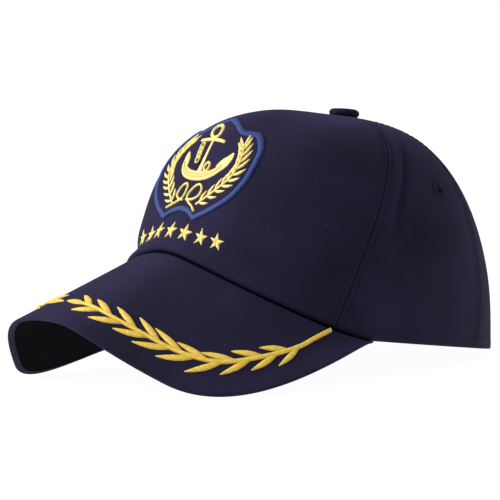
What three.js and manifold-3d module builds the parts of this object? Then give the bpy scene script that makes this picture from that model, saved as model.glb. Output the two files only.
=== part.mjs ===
// Captain hat: a five-panel cloth crown with a curved peak, a covered button, stitched eyelets,
// a shield badge with anchor, wreath and rope bow, a row of stars, and a laurel branch on each
// half of the peak. Millimetres, +Z up, +Y to the back, +X to the wearer's left.
// The hat is modelled level, with its rim in the plane z = 0 and the ear line through x = y = 0.
// At the end it is laid down as it rests by itself: on the two low sides of the peak and the
// back of the rim.
import * as THREE from 'three';
import Module from 'manifold-3d';

const wasm = await Module();
wasm.setup();
const rad = THREE.MathUtils.degToRad;

// Cloth and clearances
const wall = 2;
const seamGap = 0.3;
const layerGap = 0.4;

// Crown: plan of the rim from the ear line, and the apex
const crownHalfWidth = 82.9;
const crownFrontLength = 101;
const crownBackLength = 97.6;
const crownHeight = 107.1;
const apexSetback = 16;
const apexRise = 1.8;

// Crown: how a meridian leaves the rim and comes in to the apex. lean is in degrees from the
// upright, lower a share of the crown's height, upper a share of the rim's radius.
const meridians = {
  front: { lean: 32.3, lower: 0.87, upper: 0.82 },
  side: { lean: -5.6, lower: 0.41, upper: 1.0 },
  back: { lean: 9.5, lower: 0.62, upper: 0.62 },
};

// Slight form of the front panel: a flatter middle, full corners low down and slack ones above.
// push is in millimetres away from the upright, azimuths and widths are in degrees.
const frontForm = {
  middle: { push: -1.4, width: 20, level: 73, spread: 17 },
  corner: { push: 1.1, azimuth: 36, width: 17, level: 60, spread: 17 },
  brow: { push: -2.4, azimuth: 36, width: 19, low: 72, high: 98 },
};

// Arch that the peak's seam cuts into the front of the rim
const archHeight = 34.7;
const archHalfAngle = 83.3;
const archPower = 1.8;
const archSoftness = 1.37;

// Seams between the panels, as azimuths from the front in degrees
const sideSeamAzimuth = 84.2;
const sideSeamSweep = 12.5;
const backSeamAzimuth = 124;

// Soft fold of the side panel behind its front seam. from, full and to are shares of the height.
const fold = { behindSeam: 8.5, depth: 0.9, halfWidth: 3, from: 0.28, full: 0.5, to: 0.9 };

// Covered button
const buttonRadius = 7.75;
const buttonHeight = 4.2;
const buttonEdge = 1.4;
const buttonHole = 5;
const buttonStem = 4.2;
const buttonReach = 3.2;

// Eyelets
const eyeletShare = 0.54;
const eyeletAzimuths = { side: 107.5, back: 152 };
const eyeletBore = 1.8;
const eyeletBody = 2.7;
const eyeletFlange = 4;
const eyeletRise = 0.8;

// Peak: its outer edge as two curves on each half, tip to bend and bend to corner.
const peakThickness = 2.7;
const peakTip = new THREE.Vector3(0, -142.1, -1.2);
const peakTipReach = 36.6;
const peakBend = new THREE.Vector3(73.1, -116, -25.1);
const peakBendReach = new THREE.Vector3(34.8, 25.3, -16.3);
const peakCornerReach = new THREE.Vector3(23, -24.7, -0.8);
const peakEnd = 0.985;

// Badge on the front panel: how far it sits to the wearer's left, bottom above the peak's seam,
// size, and thread heights
const badgeAcross = 1.5;
const badgeBottom = 17.4;
const badgeHeight = 57;
const badgeHalfWidth = 42;
const patchThickness = 0.5;
const threadHeight = 0.6;
const borderWidth = 2.4;

// Outline of one half of the badge, as shares of its half width and height, lower edge first
const badgeOutline = [
  { across: 0, up: 0.07 }, { across: 0.18, up: 0.05 }, { across: 0.335, up: 0 },
  { across: 0.6, up: 0.12 }, { across: 0.84, up: 0.29 }, { across: 0.965, up: 0.46 },
  { across: 1, up: 0.58 }, { across: 0.985, up: 0.7 }, { across: 0.92, up: 0.8 },
  { across: 0.7, up: 0.905 }, { across: 0.44, up: 0.88 }, { across: 0.2, up: 0.95 },
  { across: 0, up: 1 },
];

// Anchor, in millimetres from the badge's bottom and centre line
const anchorRingCentre = 46.9;
const anchorRingRadius = 4.7;
const anchorStockHeight = 41.7;
const anchorStockHalf = 11.9;
const anchorFoot = 23;
const anchorArmHalf = 20.6;
const anchorArmRise = 9;
const anchorBar = 1.9;
const anchorArmBow = 2.8;
const anchorArmWidth = 5.2;
const fluke = { length: 9, width: 4.2, lean: 4, below: 3 };
const chainLinks = 4;
const chainLink = { halfWidth: 1.3, halfLength: 1.55, bar: 0.8 };

// Width of the anchor's arms from one tip to the other
const armWidths = [
  { side: -1, width: 0.35 }, { side: -0.66, width: 0.65 }, { side: -0.33, width: 0.87 },
  { side: 0, width: 1 }, { side: 0.33, width: 0.87 }, { side: 0.66, width: 0.65 },
  { side: 1, width: 0.35 },
];

// Ends of the anchor's chain, as shares of half the stock, and from the stock and the foot
const chainEnds = { top: { across: -0.5, below: 1.2 }, foot: { across: -0.45, above: 7.5 } };

// Width of a leaf of thread along its length
const leafShape = [
  { along: 0, width: 0.35 }, { along: 0.5, width: 1 }, { along: 1, width: 0.15 },
];
const leafLower = 0.1;

// Wreath stem on each side of the badge, as shares of the badge's half width and height
const wreathStem = [
  { across: 0.28, up: 0.13 }, { across: 0.495, up: 0.25 }, { across: 0.68, up: 0.4 },
  { across: 0.78, up: 0.55 }, { across: 0.765, up: 0.66 }, { across: 0.65, up: 0.73 },
];
const wreathPairs = 8;
const wreathLeaves = { first: 0.07, last: 0.9 };
const wreathLeaf = { length: 8.6, width: 2, angle: 29, tip: 6, stagger: 0 };
const wreathStemWidth = 1.3;

// Rope bow at the foot of the wreath
const bowCentre = 9.2;
const bowLoop = { across: 4.9, up: 4, halfWidth: 2.5, halfLength: 5, tilt: 38 };
const bowTail = { across: 13.4, up: -4.1, sag: 0.3 };
const bowBar = 1.3;

// Row of stars under the badge
const starCount = 7;
const starPitch = 11.6;
const starLevel = 10.6;
const starRadius = 4.7;
const starWaist = 0.42;
const starHeight = 1;

// Laurel branch on each half of the peak: the stem from the seam to the front, as shares of the
// half edge and of the width
const branchStem = [
  { along: 0.815, across: 0.12 }, { along: 0.755, across: 0.37 }, { along: 0.7, across: 0.52 },
  { along: 0.6, across: 0.62 }, { along: 0.5, across: 0.695 }, { along: 0.4, across: 0.725 },
  { along: 0.3, across: 0.735 }, { along: 0.2, across: 0.75 }, { along: 0.105, across: 0.755 },
];
const branchStemWidth = 2.6;
const branchPairs = 9;
const branchLeaves = { first: 0.258, last: 0.923 };
const branchLeaf = { length: 19.5, width: 3.9, angle: 19, tip: 18, stagger: 0.021 };
const branchHeight = 0.9;

// Facets
const crownRows = 11;
const panelColumns = { front: 16, side: 10, back: 8 };
const peakColumns = 36;
const peakRows = 5;
const patchRings = 4;

function blend(table, key, c) {
  const { front, side, back } = table;
  const slope = (front[key] - back[key]) / 2;
  const bow = (front[key] + back[key]) / 2 - side[key];
  return side[key] + slope * c + bow * c * c;
}

// Rim in plan, from the upright through the apex
function rimPlan(azimuth) {
  const c = Math.cos(azimuth);
  const length = c > 0 ? crownFrontLength : crownBackLength;
  return new THREE.Vector2(crownHalfWidth * Math.sin(azimuth), -length * c - apexSetback);
}

// Meridian at an azimuth: distance from the upright through the apex against height
function meridian(azimuth) {
  const c = Math.cos(azimuth);
  const radius = rimPlan(azimuth).length();
  const lower = blend(meridians, 'lower', c) * crownHeight;
  const upper = blend(meridians, 'upper', c) * radius;
  const lean = Math.tan(rad(blend(meridians, 'lean', c)));
  return new THREE.CubicBezierCurve(
    new THREE.Vector2(radius, 0),
    new THREE.Vector2(radius - lean * lower, lower),
    new THREE.Vector2(upper, crownHeight + Math.tan(rad(apexRise)) * c * upper),
    new THREE.Vector2(0, crownHeight),
  );
}

function bisect(low, high, isPast) {
  let a = low;
  let b = high;
  for (let i = 0; i < 30; i += 1) {
    const middle = (a + b) / 2;
    if (isPast(middle)) b = middle;
    else a = middle;
  }
  return (a + b) / 2;
}

function archRise(azimuth) {
  const share = Math.abs(azimuth) / rad(archHalfAngle);
  return share < 1 ? archHeight * (1 - share ** archPower) ** archSoftness : 0;
}

// Share of the meridian at the rim and at the hole under the button
function rimShare(azimuth) {
  const rise = archRise(azimuth);
  const curve = meridian(azimuth);
  return rise > 0 ? bisect(0, 0.7, (u) => curve.getPoint(u).y > rise) : 0;
}

function topShare(azimuth) {
  const curve = meridian(azimuth);
  return bisect(0.7, 1, (u) => curve.getPoint(u).x < buttonHole);
}

function smooth(from, to, value) {
  return THREE.MathUtils.smoothstep(value, from, to);
}

function bell(value, width) {
  return Math.exp(-((value / width) ** 2));
}

// How far the front's form moves the crown away from the upright; it fades near the apex
function frontPush(azimuth, radius, height) {
  const around = Math.abs(azimuth) / rad(1);
  const { middle, corner, brow } = frontForm;
  const centre = bell(around, middle.width) * bell(height - middle.level, middle.spread);
  const low = bell(around - corner.azimuth, corner.width) * bell(height - corner.level, corner.spread);
  const high = bell(around - brow.azimuth, brow.width) * smooth(brow.low, brow.high, height);
  return smooth(10, 30, radius) * (middle.push * centre + corner.push * low + brow.push * high);
}

// Point of the crown's outside at an azimuth and a share of the whole meridian
function crownSkin(azimuth, share) {
  const direction = rimPlan(azimuth).normalize();
  const { x: plain, y: height } = meridian(azimuth).getPoint(share);
  const radius = plain + frontPush(azimuth, plain, height);
  return new THREE.Vector3(direction.x * radius, apexSetback + direction.y * radius, height);
}

function crownNormal(azimuth, share) {
  const step = 1e-3;
  const around = crownSkin(azimuth + step, share).sub(crownSkin(azimuth - step, share));
  const low = Math.max(share - step, 0);
  const up = crownSkin(azimuth, share + step).sub(crownSkin(azimuth, low));
  return around.cross(up).normalize();
}

function sideSeam(height) {
  return rad(sideSeamAzimuth + sideSeamSweep * (2 * height - 1));
}

function foldDepth(azimuth, height, radius) {
  const behind = (Math.abs(azimuth) - sideSeam(height)) * radius - fold.behindSeam;
  const fade = smooth(fold.from, fold.full, height) * (1 - smooth(fold.full, fold.to, height));
  return fold.depth * fade * bell(behind, fold.halfWidth);
}

// Outside and inside of a panel's cloth. The rim's own edge is cut level, so its wall is flat.
function clothPoint(azimuth, height, depth) {
  const rim = rimShare(azimuth);
  const share = rim + (topShare(azimuth) - rim) * height;
  const point = crownSkin(azimuth, share);
  const normal = crownNormal(azimuth, share);
  if (height === 0) normal.setZ(0).normalize();
  const radius = Math.hypot(point.x, point.y - apexSetback);
  return point.addScaledVector(normal, -depth - foldDepth(azimuth, height, radius));
}

// Closed solid from triangles of points: equal points are merged and empty triangles dropped,
// and the faces are turned to point outwards.
function solidFrom(triangles) {
  const keys = new Map();
  const positions = [];
  const faces = [];
  for (const triangle of triangles) {
    const corners = triangle.map((point) => {
      const key = point.toArray().map((value) => Math.round(value * 1e4)).join();
      if (!keys.has(key)) {
        keys.set(key, positions.length / 3);
        positions.push(...point.toArray());
      }
      return keys.get(key);
    });
    if (new Set(corners).size === 3) faces.push(corners);
  }
  const volume = triangles.reduce((sum, [a, b, c]) => sum + a.dot(b.clone().cross(c)), 0);
  const ordered = volume < 0 ? faces.map(([a, b, c]) => [a, c, b]) : faces;
  return new wasm.Manifold(new wasm.Mesh({
    numProp: 3,
    vertProperties: new Float32Array(positions),
    triVerts: new Uint32Array(ordered.flat()),
  }));
}

// Solid through a row of rings with an even number of points each. Its two ends are closed by
// strips between the first half of the ring and the second.
function loft(rings, closed = false) {
  const count = rings[0].length;
  const triangles = [];
  const quad = (a, b, c, d) => triangles.push([a, b, c], [a, c, d]);
  const spans = closed ? rings.length : rings.length - 1;
  for (let i = 0; i < spans; i += 1) {
    const ring = rings[i];
    const next = rings[(i + 1) % rings.length];
    for (let j = 0; j < count; j += 1) {
      const k = (j + 1) % count;
      quad(ring[j], ring[k], next[k], next[j]);
    }
  }
  if (!closed) {
    const cap = (ring, far) => {
      for (let j = 0; j < count / 2 - 1; j += 1) {
        const [a, b, c, d] = [ring[j], ring[j + 1], ring[count - 2 - j], ring[count - 1 - j]];
        if (far) quad(a, b, c, d);
        else quad(d, c, b, a);
      }
    };
    cap(rings[0], false);
    cap(rings[rings.length - 1], true);
  }
  return solidFrom(triangles);
}

function join(solids) {
  return solids.reduce((whole, next) => whole.add(next));
}

function geometryOf(solid) {
  const { vertProperties, triVerts } = solid.getMesh();
  const geometry = new THREE.BufferGeometry();
  geometry.setAttribute('position', new THREE.BufferAttribute(vertProperties, 3));
  geometry.setIndex(new THREE.BufferAttribute(triVerts, 1));
  geometry.computeVertexNormals();
  return geometry;
}

// A manifold solid from a three.js geometry, for the round pieces and cutters
function solidOf(geometry, matrix) {
  const flat = geometry.index ? geometry.toNonIndexed() : geometry;
  const position = flat.getAttribute('position');
  const triangles = [];
  for (let i = 0; i < position.count; i += 3) {
    const corners = [i, i + 1, i + 2];
    triangles.push(corners.map((k) => {
      const point = new THREE.Vector3().fromBufferAttribute(position, k);
      return point.applyMatrix4(matrix);
    }));
  }
  return solidFrom(triangles);
}

// Panels of the crown. Each side is a seam as an azimuth at a share of the height, with the
// sign of the half gap that keeps the panel clear of its neighbour.
function panel(startSeam, endSeam, columns, spread = 1) {
  const rings = [];
  for (let i = 0; i <= columns; i += 1) {
    const outside = [];
    const inside = [];
    for (let j = 0; j <= crownRows; j += 1) {
      const height = j / crownRows;
      const plain = THREE.MathUtils.lerp(startSeam(height), endSeam(height), (i / columns) ** spread);
      const here = clothPoint(plain, height, 0);
      const radius = Math.hypot(here.x, here.y - apexSetback);
      const halfGap = seamGap / 2 / radius;
      const inset = Math.sign(endSeam(height) - startSeam(height)) * halfGap;
      const shift = (i === 0 ? inset : 0) - (i === columns ? inset : 0);
      outside.push(clothPoint(plain + shift, height, 0));
      inside.push(clothPoint(plain + shift, height, wall));
    }
    rings.push([...outside, ...inside.reverse()]);
  }
  return loft(rings);
}

// Frame on the crown's outside: x across, y up the meridian, z out
function crownFrame(azimuth, height) {
  const origin = clothPoint(azimuth, height, 0);
  const out = crownNormal(azimuth, rimShare(azimuth)
    + (topShare(azimuth) - rimShare(azimuth)) * height);
  const across = new THREE.Vector3(0, 0, 1).cross(out).normalize();
  const up = out.clone().cross(across);
  return new THREE.Matrix4().makeBasis(across, up, out).setPosition(origin);
}

// three.js cylinders and lathes stand on Y; this turns them to stand on a frame's Z
const standing = new THREE.Matrix4().makeRotationX(Math.PI / 2);

function eyeletHole(frame) {
  const length = 4 * wall;
  const cylinder = new THREE.CylinderGeometry(eyeletBody + seamGap, eyeletBody + seamGap, length, 12);
  return solidOf(cylinder, frame.clone().multiply(standing));
}

function eyelet(frame) {
  const under = -wall;
  const seat = layerGap;
  const profile = [
    [eyeletBore, under], [eyeletBody, under], [eyeletBody, seat], [eyeletFlange, seat],
    [eyeletFlange - 0.6, seat + eyeletRise], [eyeletBore, seat + eyeletRise], [eyeletBore, under],
  ];
  const lathe = new THREE.LatheGeometry(profile.map(([x, y]) => new THREE.Vector2(x, y)), 10);
  return solidOf(lathe, frame.clone().multiply(standing));
}

function button() {
  const seat = layerGap;
  const steps = 4;
  const dome = Array.from({ length: steps + 1 }, (_, i) => {
    const angle = (i / steps) * Math.PI / 2;
    const radius = buttonRadius * Math.cos(angle);
    return [radius, seat + buttonEdge + (buttonHeight - buttonEdge) * Math.sin(angle)];
  });
  dome[steps][0] = 0;
  const profile = [[0, -buttonReach], [buttonStem, -buttonReach], [buttonStem, seat],
    [buttonRadius - 0.4, seat], ...dome];
  const lathe = new THREE.LatheGeometry(profile.map(([x, y]) => new THREE.Vector2(x, y)), 18);
  const apex = new THREE.Matrix4().makeTranslation(0, apexSetback, crownHeight);
  return solidOf(lathe, apex.multiply(standing));
}

// Distances along a run of points, and the parameter at a distance
function distances(pointAt, from, to, steps) {
  const table = [{ value: from, length: 0 }];
  let last = pointAt(from);
  for (let i = 1; i <= steps; i += 1) {
    const value = THREE.MathUtils.lerp(from, to, i / steps);
    const point = pointAt(value);
    table.push({ value, length: table[i - 1].length + point.distanceTo(last) });
    last = point;
  }
  return table;
}

function valueAt(table, length) {
  const i = Math.max(1, table.findIndex((row) => row.length >= length));
  const [a, b] = [table[i - 1], table[i]];
  return THREE.MathUtils.lerp(a.value, b.value, (length - a.length) / (b.length - a.length));
}

// Front panel as a flat sheet: across from the centre line, up from the peak's seam, and lift
const centreLine = distances((u) => crownSkin(0, u), rimShare(0), topShare(0), 60);

function frontPoint(across, up, lift) {
  const share = valueAt(centreLine, up);
  const row = distances((azimuth) => crownSkin(azimuth, share), 0, rad(75), 30);
  const azimuth = Math.sign(across) * valueAt(row, Math.abs(across));
  return crownSkin(azimuth, share).addScaledVector(crownNormal(azimuth, share), lift);
}

// Bar of thread along a flat path, four corners to a station, laid on a surface by its map.
// widths has one value for each station; low and high are the lifts of its foot and back.
function threadBar(path, widths, low, high, map, closed = false) {
  const last = path.length - 1;
  const rings = path.map((point, i) => {
    const before = path[closed ? (i + last) % (last + 1) : Math.max(i - 1, 0)];
    const after = path[closed ? (i + 1) % (last + 1) : Math.min(i + 1, last)];
    const side = new THREE.Vector2(before.y - after.y, after.x - before.x).normalize();
    const foot = widths[i] / 2;
    const back = widths[i] / 4;
    const place = (offset, lift) => map(point.x + side.x * offset, point.y + side.y * offset, lift);
    return [place(-foot, low), place(-back, high), place(back, high), place(foot, low)];
  });
  return loft(rings, closed);
}

// Leaf from a point along a direction
function leafBar(base, angle, leaf, low, high, map) {
  const direction = new THREE.Vector2(Math.cos(angle), Math.sin(angle));
  const path = leafShape.map(({ along }) => (
    base.clone().addScaledVector(direction, along * leaf.length)));
  const widths = leafShape.map(({ width }) => width * leaf.width);
  return threadBar(path, widths, low, high, map);
}

function ringPath(centre, across, up, sides) {
  return Array.from({ length: sides }, (_, i) => {
    const angle = (i / sides) * 2 * Math.PI;
    return new THREE.Vector2(centre.x + across * Math.cos(angle), centre.y + up * Math.sin(angle));
  });
}

function evenWidths(path, width) {
  return path.map(() => width);
}

// Badge
const badgeThreadLow = layerGap + patchThickness + seamGap;
const badgeThreadHigh = badgeThreadLow + threadHeight;

function badgePlace({ across, up }) {
  return new THREE.Vector2(across * badgeHalfWidth, badgeBottom + up * badgeHeight);
}

function badgeSheet(x, y, lift) {
  return frontPoint(x + badgeAcross, y, lift);
}

// Whole outline, the lower point and the top of the badge kept as corners
function badgePath() {
  const rows = badgeOutline.map(badgePlace);
  const notch = new THREE.SplineCurve(rows.slice(0, 3)).getPoints(3);
  const flank = new THREE.SplineCurve(rows.slice(2)).getPoints(16);
  const half = [...notch, ...flank.slice(1)];
  const mirrored = half.slice(1, -1).reverse().map(({ x, y }) => new THREE.Vector2(-x, y));
  return [...half, ...mirrored];
}

function badgePatch() {
  const centre = badgePlace({ across: 0, up: 0.52 });
  const rings = badgePath().map((edge) => {
    const top = [];
    const bottom = [];
    for (let k = 0; k <= patchRings; k += 1) {
      const { x, y } = centre.clone().lerp(edge, k / patchRings);
      top.push(badgeSheet(x, y, layerGap + patchThickness));
      bottom.push(badgeSheet(x, y, layerGap));
    }
    return [...top, ...bottom.reverse()];
  });
  return loft(rings, true);
}

function badgeBorder() {
  const outline = badgePath();
  const count = outline.length;
  const path = outline.map((point, i) => {
    const before = outline[(i + count - 1) % count];
    const after = outline[(i + 1) % count];
    const inward = new THREE.Vector2(before.y - after.y, after.x - before.x).normalize();
    return point.clone().addScaledVector(inward, borderWidth / 2);
  });
  const widths = evenWidths(path, borderWidth);
  return threadBar(path, widths, badgeThreadLow, badgeThreadHigh, badgeSheet, true);
}

function badgePoint(x, y) {
  return new THREE.Vector2(x, badgeBottom + y);
}

function badgeBar(path, widths, closed = false) {
  return threadBar(path, widths, badgeThreadLow, badgeThreadHigh, badgeSheet, closed);
}

function badgeAnchor() {
  const ringCentre = badgePoint(0, anchorRingCentre);
  const ring = ringPath(ringCentre, anchorRingRadius, anchorRingRadius, 10);
  const stock = [-1, 0, 1].map((side) => badgePoint(side * anchorStockHalf, anchorStockHeight));
  const shankTop = anchorRingCentre - anchorRingRadius;
  const shank = [0, 0.5, 1].map((k) => badgePoint(0, THREE.MathUtils.lerp(shankTop, anchorFoot, k)));
  const arms = armWidths.map(({ side }) => {
    const rise = anchorArmRise * Math.abs(side) ** anchorArmBow;
    return badgePoint(side * anchorArmHalf, anchorFoot + rise);
  });
  const flukes = [-1, 1].map((side) => {
    const foot = badgePoint(side * (anchorArmHalf - 1), anchorFoot + anchorArmRise - fluke.below);
    return leafBar(foot, Math.PI / 2 - side * rad(fluke.lean), fluke, badgeThreadLow,
      badgeThreadHigh, badgeSheet);
  });
  const chainTop = badgePoint(
    chainEnds.top.across * anchorStockHalf, anchorStockHeight - chainEnds.top.below);
  const chainFoot = badgePoint(
    chainEnds.foot.across * anchorStockHalf, anchorFoot + chainEnds.foot.above);
  const links = Array.from({ length: chainLinks }, (_, i) => {
    const centre = chainTop.clone().lerp(chainFoot, (i + 0.5) / chainLinks);
    const link = ringPath(centre, chainLink.halfWidth, chainLink.halfLength, 6);
    return badgeBar(link, evenWidths(link, chainLink.bar), true);
  });
  return join([
    badgeBar(ring, evenWidths(ring, anchorBar), true),
    badgeBar(stock, evenWidths(stock, anchorBar)),
    badgeBar(shank, [anchorBar, anchorBar * 1.3, anchorBar * 2]),
    badgeBar(arms, armWidths.map(({ width }) => width * anchorArmWidth)),
    ...flukes,
    ...links,
  ]);
}

// Stem with pairs of leaves on both sides. side is 1 on the wearer's left and -1 on the right.
function leafyStem(points, stemWidth, pairs, span, leaf, low, high, map) {
  const curve = new THREE.SplineCurve(points);
  const stem = curve.getPoints(2 * (points.length - 1));
  const parts = [threadBar(stem, evenWidths(stem, stemWidth), low, high, map)];
  for (let i = 0; i < pairs; i += 1) {
    const pair = THREE.MathUtils.lerp(span.first, span.last, i / (pairs - 1));
    for (const side of [-1, 1]) {
      const share = pair + side * leaf.stagger;
      const angle = curve.getTangent(share).angle() + side * rad(leaf.angle);
      parts.push(leafBar(curve.getPoint(share), angle, leaf, low, high - leafLower, map));
    }
  }
  const end = curve.getTangent(1).angle();
  const tip = { length: leaf.tip, width: leaf.width };
  parts.push(leafBar(curve.getPoint(0.99), end, tip, low, high - leafLower, map));
  return join(parts);
}

function badgeWreath(side) {
  const points = wreathStem.map(({ across, up }) => badgePlace({ across: side * across, up }));
  return leafyStem(points, wreathStemWidth, wreathPairs, wreathLeaves, wreathLeaf,
    badgeThreadLow, badgeThreadHigh, badgeSheet);
}

function badgeKnot() {
  const knot = ringPath(badgePoint(0, bowCentre), bowBar, bowBar, 8);
  const parts = [badgeBar(knot, evenWidths(knot, bowBar), true)];
  for (const side of [-1, 1]) {
    const middle = badgePoint(side * bowLoop.across, bowCentre + bowLoop.up);
    const origin = new THREE.Vector2();
    const loop = ringPath(origin, bowLoop.halfWidth, bowLoop.halfLength, 10)
      .map((point) => point.rotateAround(origin, -side * rad(bowLoop.tilt)).add(middle));
    parts.push(badgeBar(loop, evenWidths(loop, bowBar), true));
    const tail = [0, 0.5, 1].map((k) => {
      const sag = Math.sin(k * Math.PI) * bowTail.sag;
      return badgePoint(side * bowTail.across * k, bowCentre + bowTail.up * k - sag);
    });
    parts.push(badgeBar(tail, evenWidths(tail, bowBar)));
  }
  return join(parts);
}

function star(index) {
  const across = (index - (starCount - 1) / 2) * starPitch;
  const centre = new THREE.Vector2(across, starLevel);
  const rings = Array.from({ length: 10 }, (_, i) => {
    const angle = Math.PI / 2 + (i / 10) * 2 * Math.PI;
    const reach = starRadius * (i % 2 ? starWaist : 1);
    const edge = new THREE.Vector2(Math.cos(angle), Math.sin(angle)).multiplyScalar(reach).add(centre);
    const low = layerGap;
    return [
      badgeSheet(centre.x, centre.y, low + starHeight), badgeSheet(edge.x, edge.y, low + starHeight / 3),
      badgeSheet(edge.x, edge.y, low), badgeSheet(centre.x, centre.y, low),
    ];
  });
  return loft(rings, true);
}

// Peak. Its seam follows the crown's arch; its outer edge is two curves on each half.
const archEnd = rad(archHalfAngle);
const seamTable = distances((azimuth) => crownSkin(azimuth, rimShare(azimuth)), 0, archEnd, 120);
const seamLength = seamTable[seamTable.length - 1].length;

function seamPoint(along) {
  const azimuth = valueAt(seamTable, Math.abs(along) * seamLength);
  return crownSkin(Math.sign(along) * azimuth, rimShare(azimuth));
}

const peakCorner = crownSkin(archEnd, 0);
const outerFront = new THREE.CubicBezierCurve3(
  peakTip,
  peakTip.clone().setX(peakTipReach),
  peakBend.clone().sub(peakBendReach),
  peakBend,
);
const outerSide = new THREE.CubicBezierCurve3(
  peakBend,
  peakBend.clone().add(peakBendReach),
  peakCorner.clone().add(peakCornerReach),
  peakCorner,
);

function outerHalf(share) {
  return share < 1 ? outerFront.getPoint(share) : outerSide.getPoint(share - 1);
}

const outerTable = distances(outerHalf, 0, 2, 160);
const outerLength = outerTable[outerTable.length - 1].length;

function outerPoint(along) {
  const point = outerHalf(valueAt(outerTable, Math.abs(along) * outerLength));
  return along < 0 ? point.setX(-point.x) : point;
}

function peakSkin(along, across) {
  return seamPoint(along).lerp(outerPoint(along), across);
}

function peakNormal(along, across) {
  const step = 4e-3;
  const near = Math.min(Math.abs(along), peakEnd - step) * Math.sign(along);
  const side = peakSkin(near + step, across).sub(peakSkin(near - step, across));
  const out = outerPoint(near).sub(seamPoint(near));
  return out.cross(side).normalize();
}

function peakPoint(along, across, lift) {
  return peakSkin(along, across).addScaledVector(peakNormal(along, across), lift - seamGap);
}

function peak() {
  const rings = [];
  for (let i = 0; i <= peakColumns; i += 1) {
    const share = 2 * i / peakColumns - 1;
    const along = peakEnd * Math.sin(share * Math.PI / 2 * 0.85) / Math.sin(Math.PI / 2 * 0.85);
    const top = [];
    const bottom = [];
    for (let j = 0; j <= peakRows; j += 1) {
      top.push(peakPoint(along, j / peakRows, 0));
      bottom.push(peakPoint(along, j / peakRows, -peakThickness));
    }
    rings.push([...top, ...bottom.reverse()]);
  }
  return loft(rings);
}

// Peak as a flat sheet for the laurel: x along the outer edge, y outwards from the seam
function branchMap(side) {
  return (x, y, lift) => {
    const along = x / outerLength;
    const width = seamPoint(along).distanceTo(outerPoint(along));
    return peakPoint(side * along, y / width, lift);
  };
}

function brimBranch(side) {
  const points = branchStem.map(({ along, across }) => {
    const width = seamPoint(along).distanceTo(outerPoint(along));
    return new THREE.Vector2(along * outerLength, across * width);
  });
  return leafyStem(points, branchStemWidth, branchPairs, branchLeaves, branchLeaf,
    layerGap, layerGap + branchHeight, branchMap(side));
}

// Resting pose: the tilt about X at which the front and the back of the hat touch one plane
function restTilt(points) {
  const lowest = (tilt, isSide) => {
    const heights = points.filter(isSide).map(({ y, z }) => y * Math.sin(tilt) + z * Math.cos(tilt));
    return Math.min(...heights);
  };
  return bisect(-rad(30), rad(30), (tilt) => (
    lowest(tilt, ({ y }) => y < 0) < lowest(tilt, ({ y }) => y >= 0)));
}

const cloth = { color: 0x23213f, roughness: 0.9, metalness: 0 };
const clothUnder = { color: 0x17161f, roughness: 0.9, metalness: 0 };
const goldThread = { color: 0xf0c232, roughness: 0.5, metalness: 0.1 };
const paleThread = { color: 0xf6e27a, roughness: 0.5, metalness: 0.1 };
const blueThread = { color: 0x30508f, roughness: 0.6, metalness: 0 };

const level = new THREE.Group();
function addPiece(name, solid, finish) {
  const mesh = new THREE.Mesh(geometryOf(solid), new THREE.MeshStandardMaterial(finish));
  mesh.name = name;
  level.add(mesh);
}

const sides = { left: 1, right: -1 };
addPiece('crown_front_panel', panel((v) => -sideSeam(v), sideSeam, panelColumns.front), cloth);
for (const [name, side] of Object.entries(sides)) {
  const sideHole = eyeletHole(crownFrame(side * rad(eyeletAzimuths.side), eyeletShare));
  const backHole = eyeletHole(crownFrame(side * rad(eyeletAzimuths.back), eyeletShare));
  const sidePanel = panel((v) => side * sideSeam(v), () => side * rad(backSeamAzimuth),
    panelColumns.side, 1.5);
  const backPanel = panel(() => side * rad(backSeamAzimuth), () => side * Math.PI, panelColumns.back);
  addPiece(`crown_side_panel_${name}`, sidePanel.subtract(sideHole), cloth);
  addPiece(`crown_back_panel_${name}`, backPanel.subtract(backHole), cloth);
  addPiece(`eyelet_side_${name}`, eyelet(crownFrame(side * rad(eyeletAzimuths.side), eyeletShare)), cloth);
  addPiece(`eyelet_back_${name}`, eyelet(crownFrame(side * rad(eyeletAzimuths.back), eyeletShare)), cloth);
  addPiece(`badge_wreath_${name}`, badgeWreath(side), paleThread);
  addPiece(`brim_branch_${name}`, brimBranch(side), goldThread);
}
addPiece('top_button', button(), cloth);
addPiece('brim', peak(), clothUnder);
addPiece('badge_patch', badgePatch(), cloth);
addPiece('badge_border', badgeBorder(), blueThread);
addPiece('badge_anchor', badgeAnchor(), paleThread);
addPiece('badge_knot', badgeKnot(), paleThread);
for (let i = 0; i < starCount; i += 1) addPiece(`star_${i + 1}`, star(i), paleThread);

const points = level.children.flatMap(({ geometry }) => {
  const position = geometry.getAttribute('position');
  return Array.from({ length: position.count }, (_, i) => (
    new THREE.Vector3().fromBufferAttribute(position, i)));
});
level.rotation.x = restTilt(points);
level.updateMatrixWorld();
const box = new THREE.Box3().setFromPoints(points.map((point) => point.applyMatrix4(level.matrixWorld)));
const hat = new THREE.Group();
hat.add(level);
hat.position.set(-(box.min.x + box.max.x) / 2, -(box.min.y + box.max.y) / 2, -box.min.z);

export default hat;
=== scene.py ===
from functools import partial
import bpy
import numpy as np
from mathutils import Matrix


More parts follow.
